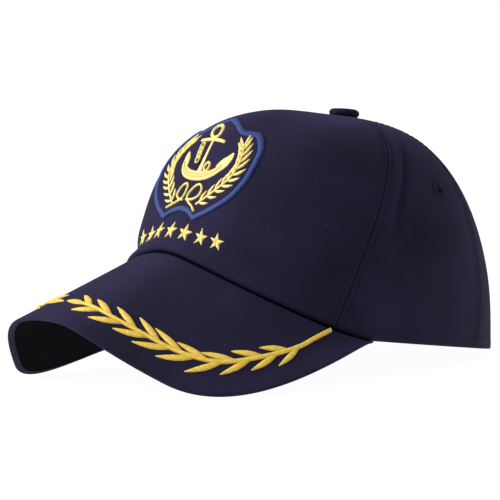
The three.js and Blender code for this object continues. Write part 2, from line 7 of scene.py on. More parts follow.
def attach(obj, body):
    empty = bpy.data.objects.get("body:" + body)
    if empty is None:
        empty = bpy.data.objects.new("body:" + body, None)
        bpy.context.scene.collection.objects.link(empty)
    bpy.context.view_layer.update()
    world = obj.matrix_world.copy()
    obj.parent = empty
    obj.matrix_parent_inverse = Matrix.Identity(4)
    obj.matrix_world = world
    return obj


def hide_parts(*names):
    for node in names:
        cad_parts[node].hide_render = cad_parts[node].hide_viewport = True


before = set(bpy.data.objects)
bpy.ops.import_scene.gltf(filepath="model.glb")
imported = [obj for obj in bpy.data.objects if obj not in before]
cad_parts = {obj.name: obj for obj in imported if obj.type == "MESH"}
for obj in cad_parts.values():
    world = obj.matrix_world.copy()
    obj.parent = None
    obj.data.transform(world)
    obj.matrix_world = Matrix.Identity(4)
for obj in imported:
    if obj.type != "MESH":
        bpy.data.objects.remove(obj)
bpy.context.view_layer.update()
print("frame loaded:", len(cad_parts), "nodes")

# Lengths are millimetres in the level hat: rim in the plane z = 0, ear line through the origin,
# front towards -y, wearer's left towards +x. settle() lays the hat down and turns it to metres.
rest = {"tilt": -9.087905427441003, "shift": (0.0, 22.010573717947743, 15.415858460391435)}


# Turn about x by the resting tilt, shift to the floor, scale to metres.
def settle(points):
    tilt = np.radians(rest["tilt"])
    y = points[..., 1] * np.cos(tilt) - points[..., 2] * np.sin(tilt)
    z = points[..., 1] * np.sin(tilt) + points[..., 2] * np.cos(tilt)
    return (np.stack((points[..., 0], y, z), -1) + rest["shift"]) * 0.001


# Camera: angles in degrees round the level hat, distance in mm, centre offset in pixels
lens = {"azimuth": 57.89, "elevation": -0.66, "roll": 4.43, "distance": 1301.0, "frame": 500,
        "pixelsPerMm": 2.08, "offset": (18.78, 27.76), "aim": (0.0, -20.0, 26.0), "sensor": 36.0,
        "clip": (0.05, 100.0)}
light = {"world": 0.46, "key": 4.2, "keyFrom": (-0.75, -1.0, 0.80), "keyAngle": 44,
         "keyTint": (0.88, 0.85, 1.0), "fill": 0.25, "fillFrom": (1.0, -0.3, 0.9), "fillAngle": 90,
         "fillTint": (1.0, 0.98, 0.95), "floor": (0.10, 0.10, 0.10), "floorGlow": 0.97,
         "floorHalf": 30.0}


# Vectors divided by their lengths.
def unit(vector):
    vector = np.asarray(vector, float)
    return vector / np.linalg.norm(vector, axis=-1, keepdims=True)


# Object in the scene with its x, y and z along three axes.
def addPlaced(name, data, axes, place=(0, 0, 0)):
    item = bpy.data.objects.new(name, data)
    bpy.context.scene.collection.objects.link(item)
    matrix = np.eye(4)
    matrix[:3, :3] = np.array(axes).T
    matrix[:3, 3] = place
    item.matrix_world = Matrix(matrix)
    return item


# Camera axes: back from azimuth and elevation, right and up turned by the roll.
def addCamera():
    az, el, roll = (np.radians(lens[key]) for key in ("azimuth", "elevation", "roll"))
    back = np.array((np.sin(az) * np.cos(el), -np.cos(az) * np.cos(el), np.sin(el)))
    flatRight = np.array((np.cos(az), np.sin(az), 0.0))
    flatUp = np.cross(back, flatRight)
    right = np.cos(roll) * flatRight + np.sin(roll) * flatUp
    up = -np.sin(roll) * flatRight + np.cos(roll) * flatUp
    origin = settle(np.zeros(3))
    axes = [unit(settle(axis * 1000) - origin) for axis in (right, up, back)]
    data = bpy.data.cameras.new("view")
    data.sensor_width = lens["sensor"]
    data.lens = lens["pixelsPerMm"] * lens["distance"] / lens["frame"] * lens["sensor"]
    data.shift_x = -lens["offset"][0] / lens["frame"]
    data.shift_y = lens["offset"][1] / lens["frame"]
    data.clip_start, data.clip_end = lens["clip"]
    place = settle(np.array(lens["aim"]) + back * lens["distance"])
    bpy.context.scene.camera = addPlaced("view", data, axes, place)


# Wide soft light from one side, turned to shine from the given direction.
def addSun(name, strength, towards, angle, tint):
    data = bpy.data.lights.new(name, "SUN")
    data.energy = strength
    data.color = tint
    data.angle = np.radians(angle)
    back = unit(towards)
    right = unit(np.cross((0, 0, 1), back))
    addPlaced(name, data, (right, np.cross(back, right), back))


# Material with its node tree and shader.
def newMaterial(name):
    material = bpy.data.materials.new(name)
    material.use_nodes = True
    tree = material.node_tree
    return material, tree, tree.nodes["Principled BSDF"]


# Sets a node's own inputs by name; three numbers are a colour.
def setInputs(node, **values):
    for key, value in values.items():
        isColour = isinstance(value, tuple)
        node.inputs[key.replace("_", " ")].default_value = (*value, 1) if isColour else value
    return node


# New node of a kind with its inputs set.
def addNode(tree, kind, **values):
    return setInputs(tree.nodes.new(kind), **values)


# Leads a value to the shader's roughness, between two bounds.
def addRoughness(tree, shader, value, low, high):
    spread = addNode(tree, "ShaderNodeMapRange", To_Min=low, To_Max=high)
    tree.links.new(value, spread.inputs["Value"])
    tree.links.new(spread.outputs["Result"], shader.inputs["Roughness"])


# Pale floor of one square and a plain white surround, brighter to the eye than as a light.
def addStudio():
    half = light["floorHalf"]
    mesh = bpy.data.meshes.new("floor")
    corners = [(-half, -half, 0), (half, -half, 0), (half, half, 0), (-half, half, 0)]
    mesh.from_pydata(corners, [], [(0, 1, 2, 3)])
    floor = addPlaced("floor", mesh, np.eye(3))
    material, tree, shader = newMaterial("pale_floor")
    addRoughness(tree, shader, addNode(tree, "ShaderNodeTexNoise", Scale=40).outputs["Fac"], 0.8, 0.95)
    setInputs(shader, Base_Color=light["floor"], Emission_Color=(1, 1, 1),
              Emission_Strength=light["floorGlow"], Specular_IOR_Level=0.1)
    mesh.materials.append(material)
    world = bpy.data.worlds.new("surround")
    bpy.context.scene.world = world
    world.use_nodes = True
    tree = world.node_tree
    lit = setInputs(tree.nodes["Background"], Strength=light["world"], Color=(1, 1, 1))
    seen = addNode(tree, "ShaderNodeBackground", Color=(1, 1, 1))
    path = addNode(tree, "ShaderNodeLightPath")
    mix = addNode(tree, "ShaderNodeMixShader")
    sources = (path.outputs["Is Camera Ray"], lit.outputs[0], seen.outputs[0])
    for source, socket in zip(sources, mix.inputs):
        tree.links.new(source, socket)
    tree.links.new(mix.outputs[0], tree.nodes["World Output"].inputs["Surface"])
    for key in ("key", "fill"):
        addSun(key, light[key], light[key + "From"], light[key + "Angle"], light[key + "Tint"])
    bpy.context.scene.view_settings.view_transform = "Standard"


addCamera()
addStudio()
print("camera, floor and lights placed")

# Crown: plan of the rim, height, the three meridians and the arch cut for the peak
crown = {"halfWidth": 82.9, "frontLength": 101.0, "backLength": 97.6, "height": 107.1,
         "setback": 16.0, "apexRise": 1.8, "wall": 2.0, "hole": 5.0,
         "lean": (32.3, -5.6, 9.5), "lower": (0.87, 0.41, 0.62), "upper": (0.82, 1.0, 0.62),
         "archHeight": 34.7, "archHalfAngle": 83.3, "archPower": 1.8, "archSoftness": 1.37,
         "seamAzimuth": 84.2, "seamSweep": 12.5, "backSeam": 124.0}


# Slight form of the front panel: push in mm, azimuth and width in degrees, then height and its
# spread; the brow is a step between two heights
form = {"middle": (-1.4, 0.0, 20.0, 73.0, 17.0), "corner": (1.1, 36.0, 17.0, 60.0, 17.0),
        "brow": (-2.4, 36.0, 19.0, 72.0, 98.0)}


# Step from 0 to 1 between two values: 3 t squared less 2 t cubed.
def smooth(low, high, value):
    t = np.clip((value - low) / (high - low), 0, 1)
    return t * t * (3 - 2 * t)


# Bell of height 1: e to the minus square of value over width.
def bump(value, width):
    return np.exp(-(value / width) ** 2)


# Value round the crown from front, side and back values by the cosine of the azimuth.
def blendRound(key, c):
    front, side, back = crown[key]
    return side + (front - back) / 2 * c + ((front + back) / 2 - side) * c * c


# Cubic curve through a and d, pulled by b and c.
def bezier(a, b, c, d, t):
    s = 1 - t
    return s ** 3 * a + 3 * s * s * t * b + 3 * s * t * t * c + t ** 3 * d


# Half ellipse to the front and half to the back, measured from the apex.
def rimPlan(azimuth):
    c = np.cos(azimuth)
    length = np.where(c > 0, crown["frontLength"], crown["backLength"])
    return crown["halfWidth"] * np.sin(azimuth), -length * c - crown["setback"]


# Radius from the upright through the apex, and height, along a cubic from rim to apex.
def meridian(azimuth, share):
    c = np.cos(azimuth)
    radius = np.hypot(*rimPlan(azimuth))
    high = crown["height"]
    lower = blendRound("lower", c) * high
    upper = blendRound("upper", c) * radius
    lean = np.tan(np.radians(blendRound("lean", c)))
    r = bezier(radius, radius - lean * lower, upper, 0 * radius, share)
    z = bezier(0 * radius, lower, high + np.tan(np.radians(crown["apexRise"])) * c * upper,
               high + 0 * radius, share)
    return r, z


# A flatter middle of the front, full corners low down and slack ones above, gone at the apex.
def frontPush(azimuth, radius, level):
    around = np.degrees(np.abs(azimuth))
    push = 0 * level
    for key in ("middle", "corner"):
        amount, at, width, height, spread = form[key]
        push = push + amount * bump(around - at, width) * bump(level - height, spread)
    amount, at, width, low, high = form["brow"]
    push = push + amount * bump(around - at, width) * smooth(low, high, level)
    return push * smooth(10, 30, radius)


# Outer skin of the crown at an azimuth and a share of the meridian.
def crownSkin(azimuth, share):
    azimuth, share = np.broadcast_arrays(azimuth, share)
    x, y = rimPlan(azimuth)
    reach = np.hypot(x, y)
    r, z = meridian(azimuth, share)
    r = r + frontPush(azimuth, r, z)
    return np.stack((x / reach * r, crown["setback"] + y / reach * r, z), -1)


# Distance from the upright through the apex.
def radiusOf(skin):
    return np.hypot(skin[..., 0], skin[..., 1] - crown["setback"])


# Cross product of small steps round and up the skin.
def crownNormal(azimuth, share):
    step = 1e-3
    around = crownSkin(azimuth + step, share) - crownSkin(azimuth - step, share)
    rise = crownSkin(azimuth, share + step) - crownSkin(azimuth, np.maximum(share - step, 0))
    return unit(np.cross(around, rise))


# Place where a test turns true, by halving the span between low and high.
def bisect(low, high, isPast):
    for _ in range(34):
        middle = (low + high) / 2
        past = isPast(middle)
        high = np.where(past, middle, high)
        low = np.where(past, low, middle)
    return (low + high) / 2


# Bell over the front: height times (1 - angle share to a power) to another power.
def archRise(azimuth):
    share = np.minimum(np.abs(azimuth) / np.radians(crown["archHalfAngle"]), 1)
    return crown["archHeight"] * (1 - share ** crown["archPower"]) ** crown["archSoftness"]


azimuthTable = np.linspace(0, np.pi, 2881)
zeroTable = np.zeros_like(azimuthTable)
rimTable = bisect(zeroTable, zeroTable + 0.7,
                  lambda u: meridian(azimuthTable, u)[1] > archRise(azimuthTable))
rimTable = np.where(archRise(azimuthTable) > 0, rimTable, 0)
topTable = bisect(zeroTable + 0.7, zeroTable + 1,
                  lambda u: meridian(azimuthTable, u)[0] < crown["hole"])


# Share of the whole meridian at a share of the cloth's height from its edge to the top.
def shareAt(azimuth, height):
    rim = np.interp(np.abs(azimuth), azimuthTable, rimTable)
    return rim + (np.interp(np.abs(azimuth), azimuthTable, topTable) - rim) * height


# Azimuth of the side seam: a line that sweeps back with the height.
def sideSeam(height):
    return np.radians(crown["seamAzimuth"] + crown["seamSweep"] * (2 * height - 1))


# Rows of a table read at given places of its first scale.
def readRows(at, scale, table):
    return np.stack([np.interp(at, scale, column) for column in table.T], -1)


# Distances along the last but one axis of a run of points.
def arcFrom(points):
    steps = np.linalg.norm(np.diff(points, axis=-2), axis=-1)
    start = np.zeros((*steps.shape[:-1], 1))
    return np.concatenate((start, np.cumsum(steps, -1)), -1)


# Faces between neighbouring rings of points, and between the last and the first if closed,
# with the table of point numbers.
def ringFaces(rings, count, closed=False):
    index = np.arange(rings * count).reshape(rings, count)
    here = index if closed else index[:-1]
    ahead = np.roll(index, -1, 0) if closed else index[1:]
    quads = np.stack((here, np.roll(here, -1, 1), np.roll(ahead, -1, 1), ahead), -1)
    return index, quads.reshape(-1, 4)


# Faces turned outwards: reversed where the volume that they enclose comes out negative.
def faceOutwards(points, groups):
    points = points - points.mean(0)
    volume = 0.0
    for group in groups:
        first, *others = np.moveaxis(points[group], 1, 0)
        for one, two in zip(others, others[1:]):
            volume += (first * np.cross(one, two)).sum()
    return groups if volume > 0 else [group[:, ::-1] for group in groups]


# One object from groups of faces, each an array with a row of point numbers for each face.
# uv is the cloth's own map in mm, tones the thread's rise, chance and shade at each point; rise and
# shade carry painted shade.
def addPiece(name, points, groups, finishes, uv=None, tones=None, faceFinish=None,
             replaced=True):
    points = points.reshape(-1, 3)
    groups = faceOutwards(points, groups)
    order = np.concatenate([group.ravel() for group in groups]).astype(np.int32)
    sizes = np.concatenate([np.full(len(group), group.shape[1]) for group in groups])
    starts = np.concatenate(([0], np.cumsum(sizes)[:-1])).astype(np.int32)
    mesh = bpy.data.meshes.new(name)
    mesh.vertices.add(len(points))
    mesh.vertices.foreach_set("co", settle(points).ravel())
    mesh.loops.add(len(order))
    mesh.loops.foreach_set("vertex_index", order)
    mesh.polygons.add(len(starts))
    mesh.polygons.foreach_set("loop_start", starts)
    if uv is not None:
        layer = mesh.uv_layers.new(name="cloth")
        layer.data.foreach_set("uv", (uv.reshape(-1, 2)[order] * 0.01).ravel())
    if tones is not None:
        layer = mesh.attributes.new("thread", "FLOAT_COLOR", "POINT")
        rgba = np.concatenate((tones, np.ones((len(tones), 1))), 1)
        layer.data.foreach_set("color", rgba.ravel())
    for finish in finishes:
        mesh.materials.append(finish)
    if faceFinish is not None:
        mesh.polygons.foreach_set("material_index", faceFinish.astype(np.int32))
    mesh.polygons.foreach_set("use_smooth", np.ones(len(starts), bool))
    mesh.update(calc_edges=True)
    mesh.validate()
    piece = addPlaced(name, mesh, np.eye(3))
    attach(piece, "root")
    if replaced:
        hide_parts(name)


# Twill: wale and bump height in mm, shares of the counter weave, fuzz and dye in the pattern
twill = {"dark": (0.0100, 0.0082, 0.0185), "light": (0.0185, 0.0150, 0.0400), "wale": 0.62,
         "waleBump": 0.05, "counter": (1.9, 0.7, 0.45), "fuzz": 2.0, "cloud": (0.29, 2.1),
         "weaveShare": 0.18, "sheen": 0.09, "sheenTint": (0.40, 0.34, 0.85), "lint": 0.10,
         "lintSize": 0.07, "lintRare": 0.82, "lintTint": (0.6, 0.58, 0.7)}


# Math node: its numbers are set and its sockets linked.
def mathNode(tree, operation, *values):
    node = tree.nodes.new("ShaderNodeMath")
    node.operation = operation
    for socket, value in zip(node.inputs, values):
        if isinstance(value, (int, float)):
            socket.default_value = value
        else:
            tree.links.new(value, socket)
    return node.outputs[0]


# Colour between two by a factor.
def mixColour(tree, factor, first, second):
    node = tree.nodes.new("ShaderNodeMix")
    node.data_type = "RGBA"
    for socket, value in zip((node.inputs[0], node.inputs[6], node.inputs[7]),
                             (factor, first, second)):
        if isinstance(value, tuple):
            socket.default_value = (*value, 1)
        else:
            tree.links.new(value, socket)
    return node.outputs[2]


# Texture on the object's own coordinates.
def addTexture(tree, kind, **values):
    node = addNode(tree, kind, **values)
    place = tree.nodes.new("ShaderNodeTexCoord")
    tree.links.new(place.outputs["Object"], node.inputs["Vector"])
    return node


# Leads a height to the shader's normal as bump.
def addBump(tree, shader, height, strength, distance):
    bumped = addNode(tree, "ShaderNodeBump", Strength=strength, Distance=distance)
    tree.links.new(height, bumped.inputs["Height"])
    tree.links.new(bumped.outputs[0], shader.inputs["Normal"])


# Twill: diagonal wales broken along their length, cloudy dye, stray lint, soft nap.
def clothFinish(name, dark, light, sheen, tint, lint, specular=0.07):
    material, tree, shader = newMaterial(name)
    plus, minus, times, sine, less, more = (
        partial(mathNode, tree, word)
        for word in ("ADD", "SUBTRACT", "MULTIPLY", "SINE", "LESS_THAN", "GREATER_THAN"))
    place = tree.nodes.new("ShaderNodeTexCoord")
    split = tree.nodes.new("ShaderNodeSeparateXYZ")
    tree.links.new(place.outputs["UV"], split.inputs[0])
    across, up = split.outputs[0], split.outputs[1]
    turn = 2 * np.pi * 100 / twill["wale"]
    acrossTurn, upTurn, strength = twill["counter"]
    wale = sine(plus(times(across, turn), times(up, turn)))
    counter = sine(minus(times(across, turn * acrossTurn), times(up, turn * upTurn)))
    weave = plus(wale, times(counter, strength))
    fuzz = addTexture(tree, "ShaderNodeTexNoise", Scale=2200.0, Detail=3.0, Roughness=0.6)
    addBump(tree, shader, plus(weave, times(fuzz.outputs["Fac"], twill["fuzz"])), 0.5,
            twill["waleBump"] * 0.001)
    cloud = addTexture(tree, "ShaderNodeTexNoise", Scale=28.0, Detail=4.0, Roughness=0.55)
    least, contrast = twill["cloud"]
    patchy = times(minus(cloud.outputs["Fac"], least), contrast)
    dyed = mixColour(tree, plus(patchy, times(weave, twill["weaveShare"])), dark, light)
    specks = addTexture(tree, "ShaderNodeTexVoronoi", Scale=260.0, Randomness=1.0)
    picked = tree.nodes.new("ShaderNodeSeparateColor")
    tree.links.new(specks.outputs["Color"], picked.inputs[0])
    rare = times(less(specks.outputs["Distance"], twill["lintSize"]),
                 more(picked.outputs[0], twill["lintRare"]))
    dusted = mixColour(tree, times(rare, lint), dyed, twill["lintTint"])
    tree.links.new(dusted, shader.inputs["Base Color"])
    addRoughness(tree, shader, cloud.outputs["Fac"], 0.78, 0.95)
    setInputs(shader, Specular_IOR_Level=specular, Sheen_Weight=sheen, Sheen_Roughness=0.45,
              Sheen_Tint=tint)
    return material


# Satin thread: painted shade between the threads and painted highlight on their backs, each a little
# different by chance; the shade tone darkens towards the deep colour.
def threadFinish(name, deep, body, crest, roughness, specular, sheen):
    material, tree, shader = newMaterial(name)
    tone = tree.nodes.new("ShaderNodeAttribute")
    tone.attribute_name = "thread"
    split = tree.nodes.new("ShaderNodeSeparateColor")
    tree.links.new(tone.outputs["Color"], split.inputs[0])
    rise, chance, shade = split.outputs[0], split.outputs[1], split.outputs[2]
    # Painted shade: rise runs from the deep colour in the valleys between threads to the body colour
    # on their backs.
    lit = mixColour(tree, rise, deep, body)
    varied = mixColour(tree, mathNode(tree, "MULTIPLY", chance, 0.55), lit, crest)
    # The shade tone mixes in the deep colour: a darker thread, and painted shade at column edges,
    # column roots and eyelet holes.
    shaded = mixColour(tree, mathNode(tree, "MULTIPLY", shade, 0.85), varied, deep)
    tree.links.new(shaded, shader.inputs["Base Color"])
    fuzz = addTexture(tree, "ShaderNodeTexNoise", Scale=5200.0, Detail=2.0)
    addBump(tree, shader, fuzz.outputs["Fac"], 0.3, 0.00004)
    addRoughness(tree, shader, chance, roughness - 0.08, roughness + 0.12)
    setInputs(shader, Specular_IOR_Level=specular, Sheen_Weight=sheen, Sheen_Roughness=0.4)
    return material


navyTwill = clothFinish("navy_twill", twill["dark"], twill["light"], twill["sheen"],
                        twill["sheenTint"], twill["lint"])
# Near-black cloth: painted shade for the peak's underside and the strip beside its seam, where the
# cloth is the same navy twill lying in shade.
underShadeTwill = clothFinish("under_painted_shade_twill", (0.0018, 0.0016, 0.0023), (0.0036, 0.0032, 0.0050), 0.01,
                         (0.4, 0.4, 0.6), 0.0, 0.01)
patchTwill = clothFinish("patch_twill", (0.0102, 0.0084, 0.0220), (0.0190, 0.0152, 0.0460), 0.12,
                         (0.40, 0.34, 0.75), 0.0)
navyThread = threadFinish("navy_thread", (0.007, 0.006, 0.014), (0.014, 0.012, 0.029),
                          (0.022, 0.018, 0.044), 0.75, 0.08, 0.05)
goldThread = threadFinish("gold_thread", (0.42, 0.20, 0.012), (0.95, 0.67, 0.070),
                          (1.0, 0.84, 0.19), 0.42, 0.25, 0.0)
paleThread = threadFinish("pale_gold_thread", (0.40, 0.21, 0.02), (0.96, 0.80, 0.17),
                          (1.0, 0.97, 0.42), 0.42, 0.3, 0.0)
blueThread = threadFinish("blue_thread", (0.006, 0.014, 0.050), (0.014, 0.040, 0.170),
                          (0.035, 0.085, 0.300), 0.6, 0.2, 0.1)

# Panels: seam shoulders, topstitching, the stitched band over the edge, hollow and soft dents
panels = {"hemRadius": 1.5, "hemSide": 0.9, "seamRadius": 0.85, "seamDrop": 1.15,
          "stitchSet": 2.7, "stitchSink": 0.28, "stitchPitch": 3.1, "pucker": 0.10, "rows": 66,
          "bandWidth": 5.2, "bandRise": 0.8, "hollow": 2.2, "hollowUp": 11.5, "hollowHalf": 5.5,
          "wave": 0.55,
          "edges": (0.0, 0.06, 0.22, 0.5, 0.85, 1.4, 2.0, 2.4, 2.7, 3.0, 3.5, 4.6, 6.4),
          "hems": (0.0, 0.06, 0.24, 0.6, 1.0, 1.7, 2.6, 3.6, 4.3, 5.0, 5.8, 7.0, 9.0)}
fold = {"behindSeam": 8.5, "depth": 2.1, "halfWidth": 1.7, "from": 0.28, "full": 0.5, "to": 0.9}
# Eyelets: the profile is radius and height in mm, from the cloth over the top and down the hole
eyelets = {"height": 0.54, "azimuths": {"side": 107.5, "back": 152.0}, "hole": 3.0, "threads": 44,
           "profile": ((3.0, -1.9), (3.1, -0.4), (3.8, 0.0), (3.85, 0.15), (3.6, 0.36),
                       (3.2, 0.5), (2.6, 0.48), (2.1, 0.3), (1.85, -0.1), (1.8, -0.9),
                       (1.85, -2.0), (2.4, -2.15))}


# Soft valley behind the front seam: bell across, fading in and out along the height.
def foldDepth(azimuth, height, radius):
    behind = (np.abs(azimuth) - sideSeam(height)) * radius - fold["behindSeam"]
    fade = smooth(fold["from"], fold["full"], height) * (1 - smooth(fold["full"], fold["to"], height))
    return fold["depth"] * fade * bump(behind, fold["halfWidth"])


# Depth of a quarter round at a distance from its edge.
def roundedEdge(distance, radius):
    gap = radius - np.clip(distance, 0, radius)
    return radius - np.sqrt(np.maximum(radius ** 2 - gap ** 2, 0))


# Slow waves of the cloth, from a few sines of the angle and the height.
def clothWave(azimuth, height):
    wave = np.sin(3.1 * azimuth + 5.0 * height + 0.4) * np.sin(4.2 * height + 0.8)
    wave += 0.6 * np.sin(7.3 * azimuth - 4.0 * height + 2.1) * np.sin(np.pi * height)
    return wave * smooth(0, 0.25, height) * (1 - smooth(0.75, 1, height))


# Distance up the cloth from its edge along a meridian, summed over short chords
def climb(azimuth, share):
    rim = np.interp(np.abs(azimuth), azimuthTable, rimTable)
    steps = np.linspace(0, 1, 15)
    track = crownSkin(azimuth[..., None], rim[..., None] + (share - rim)[..., None] * steps)
    return arcFrom(track)[..., -1]


# Broad forms of the cloth over the crown's skin: slow waves, the stitched band along its edge,
# the hollow over the band on both sides of the front, and the fold behind the seam
def relief(azimuth, height, up):
    around = np.abs(azimuth)
    over = up - panels["bandWidth"]
    band = panels["bandRise"] * (1 - smooth(-1.4, 1.2, over)) * smooth(0, 1.6, up)
    band = band * (1 - 0.9 * smooth(1.25, 1.5, around))
    sides = smooth(0.1, 0.35, around) * (1 - smooth(0.9, 1.25, around))
    hollow = panels["hollow"] * sides * bump(up - panels["hollowUp"], panels["hollowHalf"])
    radius = radiusOf(crownSkin(azimuth, shareAt(azimuth, height)))
    wave = panels["wave"] * clothWave(azimuth, height)
    return wave + band - hollow - foldDepth(azimuth, height, radius)


# Point on the outside of the cloth, and the crown's normal there
def clothAt(azimuth, height, lift=0.0):
    share = shareAt(azimuth, height)
    normal = crownNormal(azimuth, share)
    raised = relief(azimuth, height, climb(azimuth, share)) + lift
    return crownSkin(azimuth, share) + normal * raised[..., None], normal


# Azimuths and heights of a panel's grid, close together at its seams and over its edge
def panelGrid(startSeam, endSeam, columns):
    edges, hems = np.array(panels["edges"]), np.array(panels["hems"])
    count = len(edges)
    inner = np.linspace(0, 1, columns - 2 * count + 2)[1:-1]
    sign = np.sign(endSeam(0.5) - startSeam(0.5))
    height = np.broadcast_to(np.linspace(0, 1, panels["rows"])[:, None], (panels["rows"], columns))
    for _ in range(3):
        start, end = startSeam(height), endSeam(height)
        first, last = (radiusOf(crownSkin(a, shareAt(a, height))) for a in (start, end))
        width = np.abs(end - start) * (first + last) / 2
        fit = np.minimum(1, 0.40 * width / edges[-1])
        low = start[:, :count] + sign * edges * (fit / first)[:, :count]
        high = end[:, -count:] - sign * edges[::-1] * (fit / last)[:, -count:]
        between = low[:, -1:] + (high[:, :1] - low[:, -1:]) * inner
        azimuth = np.concatenate((low, between, high), 1)
        step = crownSkin(azimuth, shareAt(azimuth, 0.06)) - crownSkin(azimuth, shareAt(azimuth, 0.0))
        low = hems[:, None] / (np.linalg.norm(step[:len(hems)], axis=-1) / 0.06)
        upper = np.linspace(0, 1, panels["rows"] - len(hems) + 1)[1:, None]
        height = np.concatenate((low, low[-1:] + (1 - low[-1:]) * upper), 0)
    return azimuth, height


# Shell of one panel: outside grid, inside grid, and the walls that join them.
def panelPiece(name, startSeam, endSeam, columns, depths, holes=()):
    azimuth, height = panelGrid(startSeam, endSeam, columns)
    share = shareAt(azimuth, height)
    skin = crownSkin(azimuth, share)
    up = climb(azimuth, share)
    normal = crownNormal(azimuth, share)
    normal[..., 2] *= smooth(-3, 7, up)
    normal = unit(normal)
    across = arcFrom(skin)
    width = across[:, -1:]
    fromSeam = np.minimum(across, width - across)
    seamFade = np.minimum(1, width / 30)
    deep = np.where(across < width / 2, *depths)
    shoulder = roundedEdge(fromSeam, panels["seamRadius"]) * panels["seamDrop"] / panels["seamRadius"]
    inStitch = bump(fromSeam - panels["stitchSet"] * seamFade, 0.55)
    stitched = panels["stitchSink"] * inStitch * seamFade
    ripple = np.sin(2 * np.pi * up / panels["stitchPitch"])
    puckered = panels["pucker"] * ripple * bump(fromSeam - 1.6, 2.2) * seamFade
    atFront = 1 - smooth(1.0, 1.3, np.abs(azimuth))
    hemLine = panels["stitchSink"] * bump(up - panels["bandWidth"], 0.6) * (0.25 + 0.75 * atFront)
    broad = relief(azimuth, height, up)
    outside = broad + puckered - (shoulder + stitched) * deep - hemLine
    outside -= roundedEdge(up, panels["hemRadius"]) * atFront
    outside -= roundedEdge(up, panels["hemSide"]) * (1 - atFront)
    inside = np.minimum(broad, 0.2) - crown["wall"]
    inside += roundedEdge(up, panels["hemRadius"]) + 0.3 * roundedEdge(fromSeam, 1.0)
    inside = np.minimum(inside, outside - 0.15)
    outer = skin + normal * outside[..., None]
    inner = skin + normal * inside[..., None]
    rows, count = azimuth.shape
    keep = np.ones((rows - 1, count - 1), bool)
    corners = [(a, b) for a in (np.s_[:-1], np.s_[1:]) for b in (np.s_[:-1], np.s_[1:])]
    for holeAzimuth in holes:
        spot = crownSkin(holeAzimuth, shareAt(holeAzimuth, eyelets["height"]))
        gap = np.linalg.norm(skin - spot, axis=-1)
        inHole = gap < eyelets["hole"] + 0.5
        removed = np.all([inHole[corner] for corner in corners], 0)
        keep &= ~removed
        touched = np.zeros_like(inHole)
        for corner in corners:
            touched[corner] |= removed
        pull = np.where(touched, eyelets["hole"] / np.maximum(gap, 0.3) - 1, 0)[..., None]
        outer += (skin - spot) * pull
        inner += (skin - spot) * pull
    index = np.arange(rows * count).reshape(rows, count)
    a, b, c, d = index[:-1, :-1], index[:-1, 1:], index[1:, 1:], index[1:, :-1]
    quad = np.stack((a, b, c, d), -1)
    faces = [quad[keep], quad[keep][:, ::-1] + rows * count]
    wide = np.pad(keep, 1)
    for beside, one, two in ((wide[:-2, 1:-1], b, a), (wide[2:, 1:-1], d, c),
                             (wide[1:-1, :-2], a, d), (wide[1:-1, 2:], c, b)):
        rim = keep & ~beside
        one, two = one[rim], two[rim]
        faces.append(np.stack((one, two, two + rows * count, one + rows * count), -1))
    uv = np.stack((across - width / 2, up), -1)
    addPiece(name, np.stack((outer, inner)), faces, [navyTwill], np.stack((uv, uv)))


# One front, two side and two back panels, with a hole for each eyelet.
def buildCrown():
    back = np.radians(crown["backSeam"])
    holes = {key: np.radians(value) for key, value in eyelets["azimuths"].items()}
    level = lambda value: (lambda height: value + 0 * height)
    panelPiece("crown_front_panel", lambda h: -sideSeam(h), sideSeam, 190, (1.0, 1.0))
    for word, side in (("left", 1), ("right", -1)):
        panelPiece("crown_side_panel_" + word, lambda h: side * sideSeam(h), level(side * back), 112,
                   (1.0, 0.55), [side * holes["side"]])
        panelPiece("crown_back_panel_" + word, level(side * back), level(side * np.pi), 92,
                   (0.55, 0.8), [side * holes["back"]])


buildCrown()
print("crown sewn")

# Peak: outer edge as two cubics on each half, lip and the turned edge of the top cloth; shaded is the
# width in mm of painted shade beside the seam
peak = {"thickness": 2.0, "endThin": 0.4, "raise": 1.3, "groove": 1.25, "grooveHalf": 1.5,
        "shaded": 0.4, "gap": 0.3, "tip": (0, -142.1, -1.2), "tipReach": 36.6,
        "bend": (73.1, -116, -25.1), "bendReach": (34.8, 25.3, -16.3),
        "cornerReach": (23, -24.7, -0.8), "end": 0.985, "tuck": 1.5, "turned": 3.0,
        "underStep": 0.32, "columns": 190, "rows": 40}


# Seam and outer edge as points at even shares of their lengths, with their tangents.
def peakCurves():
    limit = np.radians(crown["archHalfAngle"])
    angle = np.linspace(0, limit, 4001)
    seam = crownSkin(angle, np.interp(angle, azimuthTable, rimTable))
    tip, bend = np.array(peak["tip"], float), np.array(peak["bend"], float)
    reach, end = np.array(peak["bendReach"]), np.array(peak["cornerReach"])
    corner = crownSkin(limit, 0.0)
    t = np.linspace(0, 1, 2001)[:, None]
    first = bezier(tip, tip + (peak["tipReach"], 0, 0), bend - reach, bend, t)
    second = bezier(bend, bend + reach, corner + end, corner, t)
    outer = np.concatenate((first, second[1:]))
    even = np.linspace(0, 1, 1601)
    tables, lengths = [], []
    for curve in (seam, outer):
        length = arcFrom(curve)
        lengths.append(length[-1])
        tables.append(readRows(even * length[-1], length, curve))
    return even, tables[0], tables[1], lengths


evenShares, seamCurve, outerCurve, peakLengths = peakCurves()
seamTangent = np.gradient(seamCurve, evenShares, axis=0)
outerTangent = np.gradient(outerCurve, evenShares, axis=0)


# Curve's value at a signed share; the far half is the mirror image of the near one.
def mirrored(table, along, isTangent=False):
    values = readRows(np.abs(along), evenShares, table)
    flip = np.where(along < 0, -1.0, 1.0)
    if isTangent:
        values[..., 1:] *= flip[..., None]
    else:
        values[..., 0] *= flip
    return values


